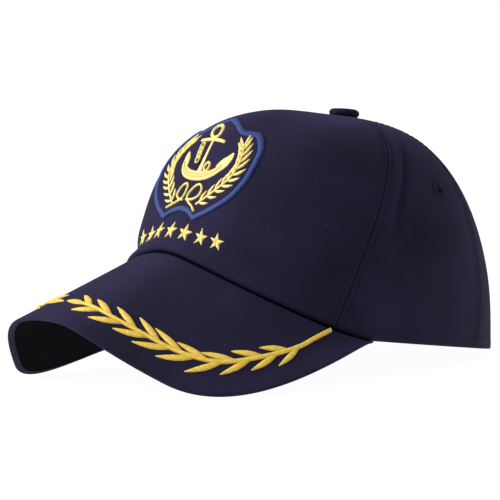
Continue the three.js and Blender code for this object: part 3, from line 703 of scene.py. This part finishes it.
# Straight from the seam to the outer edge, lifted along the surface's normal.
def peakPoint(along, across, lift):
    along, across, lift = np.broadcast_arrays(along, across, lift)
    along = np.asarray(along, float)
    near, far = mirrored(seamCurve, along), mirrored(outerCurve, along)
    held = np.clip(along, -peak["end"], peak["end"])
    tangent = mirrored(seamTangent, held, True) * (1 - across[..., None])
    tangent = tangent + mirrored(outerTangent, held, True) * across[..., None]
    out = mirrored(outerCurve, held) - mirrored(seamCurve, held)
    normal = unit(np.cross(out, tangent))
    skin = near + (far - near) * across[..., None]
    raised = peak["raise"] * across ** 2 * smooth(-0.3, 0.4, along)
    return skin + normal * (lift - peak["gap"] + raised)[..., None]


# Depth of the peak from seam to outer edge.
def peakWidth(along):
    return np.linalg.norm(mirrored(outerCurve, along) - mirrored(seamCurve, along), axis=-1)


# Strips between the first half of a ring of points and the second.
def capStrips(ring):
    j = np.arange(len(ring) // 2 - 1)
    return np.stack((ring[j], ring[j + 1], ring[-2 - j], ring[-1 - j]), -1)


# Closed shell: top from tuck to lip, half-round lip, underside back, a step at its cloth.
def buildPeak():
    spread = np.pi / 2 * 0.9
    along = peak["end"] * np.sin(np.linspace(-1, 1, peak["columns"]) * spread) / np.sin(spread)
    width = np.maximum(peakWidth(along), 0.8)[:, None]
    thick = peak["thickness"] * (1 - peak["endThin"] * smooth(0.8, 1, np.abs(along)))[:, None]
    radius = thick / 2
    tuck = -peak["tuck"] / width
    turn = np.linspace(0, np.pi / 2, 8)[None, 1:]
    inwards = np.linspace(0, 1, peak["rows"])[None, :] ** 1.7
    topAcross = tuck + (1 - radius / width - tuck) * inwards
    topDepth = peak["groove"] * bump(topAcross * width, peak["grooveHalf"]) * smooth(4, 22, width)
    lipAcross = 1 - radius * (1 - np.sin(turn)) / width
    lipDepth = radius - radius * np.cos(turn)
    steps = np.array((-0.5, -0.1, 0.1, 0.6)) + peak["turned"]
    back = 1 - (peak["turned"] + 2) / width
    run = back + (tuck - back) * np.linspace(0, 1, peak["rows"] - 6)[None, :]
    underAcross = np.maximum(np.concatenate((1 - steps / width, run), 1), tuck)
    underDepth = thick + 0 * underAcross
    underDepth[:, 1] -= 0.02
    underDepth[:, 2:] -= peak["underStep"]
    across = np.concatenate((topAcross, lipAcross, lipAcross[:, -2::-1], underAcross), 1)
    depth = np.concatenate((topDepth, lipDepth, thick - lipDepth[:, -2::-1], underDepth), 1)
    index, quads = ringFaces(*across.shape)
    # Painted shade: the underside and the top within shaded mm of the seam take the near-black cloth,
    # for the shade under the peak and in the seam's groove.
    paintedShadeFaces = np.zeros((len(along) - 1, across.shape[1]), int)
    paintedShadeFaces[:, 1 - underAcross.shape[1]:] = 1
    paintedShadeFaces[:, :topAcross.shape[1]] = (topAcross * width)[1:] < peak["shaded"]
    groups = [quads, capStrips(index[0])[:, ::-1], capStrips(index[-1])]
    finish = np.concatenate((paintedShadeFaces.ravel(), np.zeros(len(groups[1]) + len(groups[2]), int)))
    uv = np.stack((along[:, None] * peakLengths[1] + 0 * across, across * width), -1)
    addPiece("brim", peakPoint(along[:, None], across, -depth), groups,
             [navyTwill, underShadeTwill], uv, faceFinish=finish)


buildPeak()
print("peak shaped")

# Front panel as a flat sheet: across from the centre line, up from the peak's seam, lift off
# the cloth. A table of points and normals every half millimetre, read between its entries.
sheet = {"pitch": 0.5, "low": -1.0, "high": 96.0, "half": 66.0}


# Table rows: distance up from the seam, and columns: distance round from the centre line.
def frontTable():
    line = np.linspace(rimTable[0], topTable[0], 1200)
    climbed = arcFrom(crownSkin(0.0, line))
    up = np.arange(sheet["low"], sheet["high"], sheet["pitch"])
    share = np.interp(up, climbed, line)
    share = np.where(up < 0, line[0] + up * (line[1] - line[0]) / climbed[1], share)
    angle = np.linspace(0, np.radians(82), 500)
    lengths = arcFrom(crownSkin(angle[None, :], share[:, None]))
    across = np.arange(0, sheet["half"], sheet["pitch"])
    azimuth = np.stack([np.interp(across, row, angle) for row in lengths])
    share = np.broadcast_to(share[:, None], azimuth.shape)
    rim = np.interp(azimuth, azimuthTable, rimTable)
    top = np.interp(azimuth, azimuthTable, topTable)
    height = np.clip((share - rim) / (top - rim), 0, 1)
    rise = climb(azimuth, np.maximum(share, rim))
    tables = []
    for side in (1, -1):
        normal = crownNormal(side * azimuth, share)
        raised = relief(side * azimuth, height, rise)
        tables.append((crownSkin(side * azimuth, share) + normal * raised[..., None], normal))
    return tables


frontTables = frontTable()


# Table read between its entries, linear in both ways.
def readTable(table, row, column):
    i = np.clip(row.astype(int), 0, table.shape[0] - 2)
    j = np.clip(column.astype(int), 0, table.shape[1] - 2)
    a, b = (row - i)[..., None], (column - j)[..., None]
    low = table[i, j] * (1 - b) + table[i, j + 1] * b
    return low * (1 - a) + (table[i + 1, j] * (1 - b) + table[i + 1, j + 1] * b) * a


# Point of the front panel at x, y, lifted along the normal.
def frontPoint(x, y, lift):
    row = (y - sheet["low"]) / sheet["pitch"]
    column = np.abs(x) / sheet["pitch"]
    left, right = [(readTable(points, row, column), readTable(normals, row, column))
                   for points, normals in frontTables]
    isLeft = (x >= 0)[..., None]
    point = np.where(isLeft, left[0], right[0])
    return point + unit(np.where(isLeft, left[1], right[1])) * lift[..., None]


# Half of the peak as a flat sheet: x along its outer edge, y outwards from the seam
def branchSheet(side):
    def place(x, y, lift):
        along = x / peakLengths[1]
        return peakPoint(side * along, y / peakWidth(along), lift)
    return place


# Smooth path through points: the cubic that leaves each point parallel to its neighbours' chord
def splinePath(points, samples=24, share=None):
    points = np.asarray(points, float)
    t = np.linspace(0, 1, samples * (len(points) - 1) + 1) if share is None else np.atleast_1d(share)
    t = t * (len(points) - 1)
    i = np.minimum(t.astype(int), len(points) - 2)
    w = (t - i)[:, None]
    held = np.concatenate((points[:1], points, points[-1:]))
    p0, p1, p2, p3 = held[i], held[i + 1], held[i + 2], held[i + 3]
    v0, v1 = (p2 - p0) / 2, (p3 - p1) / 2
    cubic = (2 * p1 - 2 * p2 + v0 + v1) * w ** 3 + (-3 * p1 + 3 * p2 - 2 * v0 - v1) * w * w
    return cubic + v0 * w + p1


chanceTable = np.random.default_rng(11).random(997)
satinCount = [0]


# Satin column on a sheet: domed across its path, a ridge for each thread, the threads slanted.
# lift = low + height * dome(side) * width share + ridge * thread wave; edges dip into the cloth.
def satin(path, half, place, pitch=0.5, slant=0.5, height=0.9, low=0.0, ridge=0.10,
          closed=False, shade=0.0, rootShade=0.0, across=9):
    path, half = np.asarray(path, float), np.asarray(half, float)
    length = arcFrom(path)
    threads = max(3, int(round(length[-1] / pitch)))
    count = threads * 4 + (0 if closed else 1)
    s = np.linspace(0, length[-1], threads * 4 + 1)[:count]
    x, y = (np.interp(s, length, path[:, k]) for k in range(2))
    w = np.interp(s, length, half * np.ones(len(path)))
    if closed:
        dx, dy = (np.roll(v, -1) - np.roll(v, 1) for v in (x, y))
    else:
        dx, dy = np.gradient(x), np.gradient(y)
    size = np.maximum(np.hypot(dx, dy), 1e-9)
    side = np.linspace(-1.35, 1.35, across)
    side = np.sin(side) / np.sin(1.35)
    phase = s[:, None] / length[-1] * threads + slant * side[None, :] * w[:, None] / pitch
    thread = np.floor(phase).astype(int)
    rise = 1 - (2 * (phase - thread) - 1) ** 2
    satinCount[0] += 37
    chance = chanceTable[(thread % threads + satinCount[0]) % len(chanceTable)]
    dome = np.sqrt(np.maximum(1 - np.abs(side) ** 2.6, 0))[None, :]
    full = np.minimum(1, w / max(w.max(), 1e-6))[:, None] ** 0.7
    lift = low + height * dome * full + ridge * (rise - 0.6) * (0.35 + 0.65 * dome)
    reach = w[:, None] * side[None, :] * (1 + 0.05 * (rise - 0.5))
    px = x[:, None] - dy[:, None] / size[:, None] * reach
    py = y[:, None] + dx[:, None] / size[:, None] * reach
    foot = np.full((count, 1), low - 0.25)
    px = np.concatenate((px[:, :1], px, px[:, -1:]), 1)
    py = np.concatenate((py[:, :1], py, py[:, -1:]), 1)
    lift = np.concatenate((foot, lift, foot), 1)
    # Painted shade: darker at the root of the column and along its sides where it dips into the cloth;
    # the shade argument darkens the whole column.
    root = rootShade * bump(s / length[-1], 0.22)[:, None]
    edge = 0.35 * (1 - dome) + 0 * rise
    tone = np.stack((rise, chance, np.clip(shade + root + edge, 0, 1)), -1)
    tone = np.concatenate((tone[:, :1], tone, tone[:, -1:]), 1)
    return place(px, py, lift), tone, closed


# Several columns as one piece: quads round each column, a face over each of its two ends
def sew(name, columns, finish, replaced=True):
    points, tones, groups = [], [], []
    start = 0
    for grid, tone, closed in columns:
        index, quads = ringFaces(*grid.shape[:2], closed)
        parts = [quads] if closed else [quads, index[:1, ::-1], index[-1:]]
        flat = grid.reshape(-1, 3)
        groups += [part + start for part in faceOutwards(flat, parts)]
        points.append(flat)
        tones.append(tone.reshape(-1, 3))
        start += len(flat)
    addPiece(name, np.concatenate(points), groups, [finish],
             tones=np.concatenate(tones), replaced=replaced)


# Badge: outline of one half as shares of half width and height, first three to the notch
badge = {"across": 1.5, "bottom": 17.4, "height": 57.0, "halfWidth": 42.0, "farShare": 0.94,
         "patch": 0.4, "foot": 0.2, "border": 1.4,
         "outline": ((0, 0.07), (0.18, 0.05), (0.335, 0), (0.6, 0.12), (0.84, 0.29),
                     (0.955, 0.46), (0.98, 0.58), (0.955, 0.7), (0.885, 0.8), (0.68, 0.9),
                     (0.44, 0.88), (0.2, 0.95), (0, 1))}
anchor = {"ring": (-2.6, 47.3), "ringAcross": (4.0, 0.7), "ringUp": (-2.7, 4.0), "bar": 0.95,
          "stock": ((-12.0, 42.6), (10.9, 41.6)), "shank": ((-0.6, 43.0), (0.3, 23.0)),
          "arms": ((-18.0, 37.2, 0.5), (-17.3, 33.6, 1.1), (-16.0, 29.6, 1.7), (-11.9, 25.4, 2.3),
                   (-5.4, 23.0, 2.5), (1.2, 22.5, 2.6), (7.7, 23.2, 2.4), (13.2, 25.2, 2.1),
                   (17.8, 28.4, 1.9), (21.4, 32.0, 1.9), (23.1, 35.4, 1.2), (22.6, 38.2, 0.4)),
          "flukes": (((-13.4, 29.4, 0.4), (-15.4, 33.2, 1.4), (-17.6, 37.4, 0.3)),
                     ((14.6, 29.0, 0.5), (18.4, 31.8, 1.9), (21.0, 34.8, 1.4), (22.4, 38.2, 0.3))),
          "links": 4, "linkTop": (-8.0, 40.2), "linkFoot": (-6.0, 30.4), "link": (1.55, 1.85),
          "loop": (6.2, 27.6), "loopSize": (2.2, 2.3)}
wreath = {"stem": ((0.285, 0.14), (0.44, 0.235), (0.58, 0.34), (0.68, 0.43), (0.735, 0.52),
                   (0.735, 0.61), (0.69, 0.69), (0.62, 0.755)),
          "farShare": 0.94, "pairs": 10, "first": 0.05, "last": 0.92, "length": 8.6, "half": 0.82,
          "angle": 35, "bend": 0.45, "stagger": 0.0, "tip": 7.6, "fork": 24, "stemHalf": 0.55,
          "taper": 0.2, "pitch": 0.42, "rise": 0.6}
bow = {"cord": 0.62,
       "left": ((-2.4, 9.4), (-6.8, 10.2), (-9.8, 12.8), (-8.9, 16.8), (-5.9, 18.4), (-3.6, 16.8),
                (-3.0, 13.4), (-3.9, 10.5), (-8.0, 8.2), (-14.4, 6.0)),
       "right": ((0.6, 9.6), (6.6, 10.2), (11.0, 12.8), (10.9, 16.4), (7.3, 18.2), (3.5, 16.7),
                 (0.8, 13.4), (0.9, 10.6), (4.4, 8.2), (8.8, 6.6), (12.6, 4.4))}
stars = {"count": 7, "pitch": 11.6, "level": 10.6, "radius": 4.7, "waist": 0.42}


# Front panel as seen from the badge, which sits a little to one side.
def badgeSheet(x, y, lift):
    return frontPoint(x + badge["across"], y, lift)


# The far half of the badge is a little narrower than the near one.
def badgePlace(across, up):
    half = np.where(across < 0, badge["farShare"], 1.0) * badge["halfWidth"]
    return np.stack((across * half, badge["bottom"] + up * badge["height"]), -1)


# Closed outline: two smooth curves that meet in a corner, and their mirror image.
def badgeOutline():
    rows = np.array(badge["outline"], float)
    half = np.concatenate((splinePath(rows[:3]), splinePath(rows[2:])[1:]))
    return badgePlace(*np.concatenate((half, (half * (-1, 1))[-2:0:-1])).T)


# Patch: rings shrinking from the outline to its middle, lifted a little more inwards
def buildPatch():
    outline = badgeOutline()[::2]
    centre = badgePlace(0.0, 0.52)
    scale = np.sqrt(np.linspace(0.0004, 1, 26))[:, None]
    flat = centre + (outline - centre)[None] * scale[..., None]
    lift = badge["patch"] * (1 - 0.25 * scale ** 8) + 0 * flat[..., 0]
    flat = np.concatenate((flat, flat[-1:], flat[:1]))
    lift = np.concatenate((lift, 0 * lift[:2] - badge["foot"]))
    index, quads = ringFaces(*lift.shape)
    addPiece("badge_patch", badgeSheet(flat[..., 0], flat[..., 1], lift),
             [quads, index[:1], index[-1:, ::-1]], [patchTwill], flat)


# Merrowed edge: satin over the patch's outline, drawn inwards by half its width
def buildBorder():
    outline = badgeOutline()
    ahead = np.roll(outline, -1, 0) - np.roll(outline, 1, 0)
    inward = unit(np.stack((-ahead[:, 1], ahead[:, 0]), -1))
    path = outline + inward * badge["border"] * 0.75
    path = np.concatenate((path, path[:1]))
    column = satin(path, badge["border"], badgeSheet, pitch=0.45, slant=0.25, height=0.75,
                   low=0.3, ridge=0.12, closed=True)
    sew("badge_border", [column], blueThread)


# The badge with y from its lowest point.
def onBadge(x, y, lift):
    return badgeSheet(x, y + badge["bottom"], lift)


# Closed oval with half axes across and up, turned by a tilt.
def circlePath(centre, across, up, tilt, count):
    angle = np.linspace(0, 2 * np.pi, count)
    x, y = across * np.cos(angle), up * np.sin(angle)
    c, s = np.cos(tilt), np.sin(tilt)
    return np.stack((centre[0] + x * c - y * s, centre[1] + x * s + y * c), -1)


# Anchor: arms with a darker line inside, shank, stock, ring, two flukes, links and a loop
def buildAnchor():
    low = badge["patch"]
    thick = partial(satin, place=onBadge, pitch=0.42, ridge=0.09)
    onPatch = partial(thick, low=low)
    turn = np.linspace(0, 2 * np.pi, 72)[:, None]
    ring = np.array(anchor["ring"]) + np.cos(turn) * anchor["ringAcross"]
    ring = ring + np.sin(turn) * anchor["ringUp"]
    stock, shank = (splinePath(anchor[key], 40) for key in ("stock", "shank"))
    line = np.linspace(0, 1, len(stock))
    arms = splinePath(anchor["arms"], 8)
    inner = arms[12:-20]
    columns = [
        onPatch(arms[:, :2], arms[:, 2], height=0.6, slant=0.15),
        thick(inner[:, :2], inner[:, 2] * 0.45, height=0.35, slant=1.2, shade=0.5, low=low + 0.46),
        onPatch(shank, 0.9 + 2.0 * line ** 3, height=0.65, slant=0.3),
        onPatch(stock, 0.95 - 0.25 * np.abs(2 * line - 1) ** 4, height=0.8, slant=0.2),
        onPatch(ring, anchor["bar"], height=0.85, closed=True)]
    for rows in anchor["flukes"]:
        barb = splinePath(rows, 12)
        columns.append(onPatch(barb[:, :2], barb[:, 2], height=0.65, slant=0.6))
    a, b = np.array(anchor["linkTop"]), np.array(anchor["linkFoot"])
    lean = np.arctan2((b - a)[1], (b - a)[0]) + np.pi / 2
    for k in range(anchor["links"]):
        link = circlePath(a + (b - a) * (k + 0.5) / anchor["links"], *anchor["link"], lean, 36)
        columns.append(onPatch(link, 0.42, height=0.6, slant=0.6, closed=True, across=7))
    loop = circlePath(anchor["loop"], *anchor["loopSize"], -0.5, 40)
    columns.append(onPatch(loop, 0.7, height=0.8, closed=True, across=7, shade=0.15))
    sew("badge_anchor", columns, paleThread)


# Leaf: pointed oval on a path that swings from its first angle towards the stem's own heading
def leafColumn(base, heading, swing, length, half, place, bend=0.45, **options):
    t = np.linspace(0, 1, 26)
    angle = heading + swing * (1 - bend * (2 * t - 0.6))
    step = np.stack((np.cos(angle), np.sin(angle)), -1) * length / (len(t) - 1)
    path = base + np.concatenate((np.zeros((1, 2)), np.cumsum(step, 0)[:-1]))
    wide = half * np.interp(t, (0, 0.12, 0.32, 0.52, 0.75, 0.92, 1),
                            (0.42, 0.62, 0.94, 1.0, 0.72, 0.34, 0.12))
    return satin(path, wide, place, slant=np.sign(swing) * 0.75 if swing else 0.3, **options)


# Stem that thins to its end, pairs of leaves along it, and one leaf or a fork of two at its end
def leafyStem(points, plant, place, low):
    points = np.asarray(points, float)
    path = splinePath(points)
    share = np.linspace(0, 1, len(path))
    thick = dict(place=place, pitch=plant["pitch"], height=plant["rise"])
    columns = [satin(path, plant["stemHalf"] * (1 - plant["taper"] * share), slant=0.9,
                     low=low + 0.12, ridge=0.09, **thick)]
    dice = np.random.default_rng(5)

    def leafAt(at, before, after, swing, length, **options):
        ahead = splinePath(points, share=after)[0] - splinePath(points, share=before)[0]
        heading = np.arctan2(ahead[1], ahead[0])
        columns.append(leafColumn(splinePath(points, share=at)[0], heading, swing, length,
                                  plant["half"], low=low, **thick, **options))

    for k in range(plant["pairs"]):
        alongRow = k / (plant["pairs"] - 1)
        at = plant["first"] + (plant["last"] - plant["first"]) * k / (plant["pairs"] - 1)
        for side in (-1, 1):
            here = np.clip(at + side * plant["stagger"], 0, 1)
            grown = plant["length"] * (1 + 0.06 * (dice.random() - 0.5))
            grown *= 1 - 0.12 * abs(2 * alongRow - 1)
            # Painted shade at each leaf's root, where it meets the stem.
            leafAt(here, here - 0.01, min(here + 0.01, 1), side * np.radians(plant["angle"]),
                   grown, bend=plant["bend"], rootShade=0.45)
    fork = np.radians(plant["fork"])
    for swing in ((-fork, fork) if fork else (0.0,)):
        leafAt(0.985, 0.97, 1.0, swing, plant["tip"])
    return columns


# Two stems that rise from the foot of the badge, the far one drawn in.
def buildWreaths():
    for word, side in (("left", 1), ("right", -wreath["farShare"])):
        rows = np.array(wreath["stem"]) * (side, 1)
        columns = leafyStem(badgePlace(*rows.T), wreath, badgeSheet, badge["patch"])
        sew("badge_wreath_" + word, columns, paleThread)


# Bow: two cords, each a loop from the stems' foot that crosses over into a tail
def buildBow():
    columns = [satin(splinePath(bow[side], 16), bow["cord"], onBadge, across=7, pitch=0.42,
                     low=badge["patch"], ridge=0.08, height=0.75, slant=0.9)
               for side in ("left", "right")]
    sew("badge_knot", columns, paleThread)


# Star: five pointed columns from the middle, widest at the waist
def buildStars():
    waist = stars["radius"] * stars["waist"]
    shoulder = waist * np.cos(np.pi / 5) / stars["radius"]
    t = np.linspace(0, 1, 20)
    wide = waist * np.sin(np.pi / 5) * np.interp(t, (0, shoulder, 1), (0.25, 1.0, 0.1))
    for k in range(stars["count"]):
        centre = np.array(((k - (stars["count"] - 1) / 2) * stars["pitch"], stars["level"]))
        columns = []
        for arm in range(5):
            angle = np.pi / 2 + arm * 2 * np.pi / 5
            path = centre + np.stack((np.cos(angle) * t, np.sin(angle) * t), -1) * stars["radius"]
            # Painted shade at the root of each arm, in the star's middle.
            columns.append(satin(path, wide, badgeSheet, pitch=0.42, slant=0.0, height=0.7,
                                 low=0.05, ridge=0.09, rootShade=0.25, across=7))
        sew("star_" + str(k + 1), columns, paleThread)


buildPatch()
buildBorder()
buildAnchor()
buildWreaths()
buildBow()
buildStars()
print("badge and stars embroidered")

# Laurel: shares along and across half of the peak; the near stem ends closer to the middle
branch = {"stem": ((0.815, 0.12), (0.755, 0.37), (0.7, 0.52), (0.6, 0.62), (0.5, 0.695),
                   (0.4, 0.725), (0.3, 0.735), (0.2, 0.75), (0.105, 0.755)),
          "nearEnd": ((0.18, 0.752), (0.075, 0.757)), "stemHalf": 1.4, "taper": 0.35,
          "pairs": 9, "first": 0.258, "last": 0.923, "length": 21.0, "half": 1.7, "angle": 21,
          "bend": 0.2, "stagger": 0.021, "tip": 18.5, "fork": 0, "pitch": 0.55, "rise": 1.05}


# Laurel on each half of the peak, its stem laid by shares of length and depth.
def buildBranches():
    for word, side in (("left", 1), ("right", -1)):
        rows = np.array(branch["stem"])
        if side > 0:
            rows[-2:] = branch["nearEnd"]
        along, across = rows.T
        points = np.stack((along * peakLengths[1], across * peakWidth(along)), -1)
        columns = leafyStem(points, branch, branchSheet(side), 0.0)
        sew("brim_branch_" + word, columns, goldThread)


buildBranches()
print("laurel embroidered")

# Covered button: domed disc with gathers under its edge, and its short neck
button = {"radius": 7.45, "height": 4.0, "seat": 0.3, "shoulder": 2.1, "gathers": 14,
          "gather": 0.352, "neck": 4.0}


# Ring radii and heights: flat top, rounded shoulder, neck; the radius drops at each gather.
def buildButton():
    turn = np.linspace(0, 2 * np.pi, 113)[:-1]
    flat = np.linspace(0.02, 1, 12) ** 0.8
    bend = np.linspace(0, 1, 16)[1:] * np.pi * 0.86
    top = button["radius"] - button["shoulder"]
    high = crown["height"] + button["seat"] + button["height"]
    r = np.concatenate((top * flat, top + button["shoulder"] * np.sin(bend), [button["neck"]] * 2))
    z = np.concatenate((high - 0.35 * (flat * 0.9) ** 2.5,
                        high - 0.27 - button["shoulder"] * (1 - np.cos(bend)) * 0.92,
                        crown["height"] + np.array((0.2, -2.6))))
    depth = np.concatenate((np.zeros(12), np.linspace(0, 1, 15), [0.4, 0]))[:, None]
    fold = np.abs(np.sin(turn * button["gathers"] / 2 + 0.6 * np.sin(3 * turn)))
    r = r[:, None] - button["gather"] * (1 - fold) * depth
    z = z[:, None] + 0.05 * np.sin(2 * turn + 1) * (r / button["radius"])
    flat = np.stack((r * np.cos(turn), r * np.sin(turn)), -1)
    points = np.concatenate((flat + (0, crown["setback"]), z[..., None]), -1)
    index, quads = ringFaces(*r.shape)
    addPiece("top_button", points, [quads, index[:1, ::-1], index[-1:]],
             [navyTwill], flat)


# Eyelet: a turned profile through the cloth, with a ridge for each thread round it
def buildEyelets():
    threads = eyelets["threads"]
    phase = np.arange(threads * 4) / 4
    turn = (phase / threads * 2 * np.pi)[:, None]
    rise = (1 - (2 * (phase % 1) - 1) ** 2)[:, None]
    chance = chanceTable[phase.astype(int)][:, None]
    out, high = np.array(eyelets["profile"]).T
    onTop = (high > 0.05).astype(float)
    r = out + 0.10 * (rise - 0.5) * onTop * np.sign(out - 2.9)
    lift = high + 0.14 * (rise - 0.6) * onTop
    # Painted shade: the threads that run down the hole take 0.3 of the deep colour, and the valleys
    # between threads are darker by their rise.
    tone = np.stack((rise + 0 * r, chance + 0 * r, 0.3 * (1 - onTop) + 0 * r), -1)
    for key, angle in eyelets["azimuths"].items():
        for word, side in (("left", 1), ("right", -1)):
            spot, normal = clothAt(np.array(side * np.radians(angle)), eyelets["height"])
            level = unit(np.cross((0, 0, 1), normal))
            grid = spot + (r * np.cos(turn))[..., None] * level + lift[..., None] * normal
            grid = grid + (r * np.sin(turn))[..., None] * np.cross(normal, level)
            sew("eyelet_" + key + "_" + word, [(grid, tone, True)], navyThread)


buildButton()
buildEyelets()
print("button and eyelets made")

# Stitches: thread radius, gap between two, depth in the cloth and pitch along the hem in mm
stitch = {"radius": 0.21, "gap": 0.35, "sink": 0.16, "bow": 0.10, "hemPitch": 3.1}


# Row of stitches on the crown: short bowed capsules along a track of azimuths and heights
def stitchRow(azimuth, height, pitch):
    track, normal = clothAt(azimuth, height, -stitch["sink"])
    length = arcFrom(track)
    k = np.linspace(0, 1, 7)
    begin = np.arange(int(length[-1] / pitch))[:, None] * pitch + stitch["gap"] / 2
    at = begin + k * (pitch - stitch["gap"])
    middle, out = readRows(at, length, track), unit(readRows(at, length, normal))
    aside = np.cross(unit(np.gradient(middle, axis=1)), out)
    turn = np.linspace(0, 2 * np.pi, 7)[:-1, None]
    thin = (stitch["radius"] * np.sqrt(np.maximum(1 - (2 * k - 1) ** 6, 0.08)))[:, None, None]
    bowed = (np.sin(np.pi * k) * stitch["bow"] + 0.04)[:, None, None]
    ring = middle[:, :, None] + out[:, :, None] * (bowed + thin * np.sin(turn))
    ring = ring + aside[:, :, None] * thin * np.cos(turn)
    tone = np.zeros((*ring.shape[1:3], 3)) + (0.8, 0.5, 0.0)
    return [(one, tone, False) for one in ring]


# Two rows beside each seam and one round the hem.
def buildStitches():
    height = np.linspace(0.03, 0.93, 240)
    back = np.radians(crown["backSeam"]) + 0 * height
    rows = []
    for side, azimuth in ((1, sideSeam(height)), (-1, sideSeam(height)), (1, back), (-1, back),
                          (1, np.pi + 0 * height)):
        radius = radiusOf(crownSkin(azimuth, shareAt(azimuth, height)))
        for away in (-1, 1):
            offset = away * panels["stitchSet"] / radius
            rows += stitchRow(side * (azimuth + offset), height, panels["stitchPitch"])
    sew("seam_stitches", rows, navyThread, replaced=False)
    azimuth = np.linspace(-np.pi, np.pi, 1200)
    tall = climb(azimuth, shareAt(azimuth, 0.2 + 0 * azimuth)) / 0.2
    rows = stitchRow(azimuth, panels["bandWidth"] / tall, stitch["hemPitch"])
    sew("hem_stitches", rows, navyThread, replaced=False)


buildStitches()
print("seams and hem stitched")
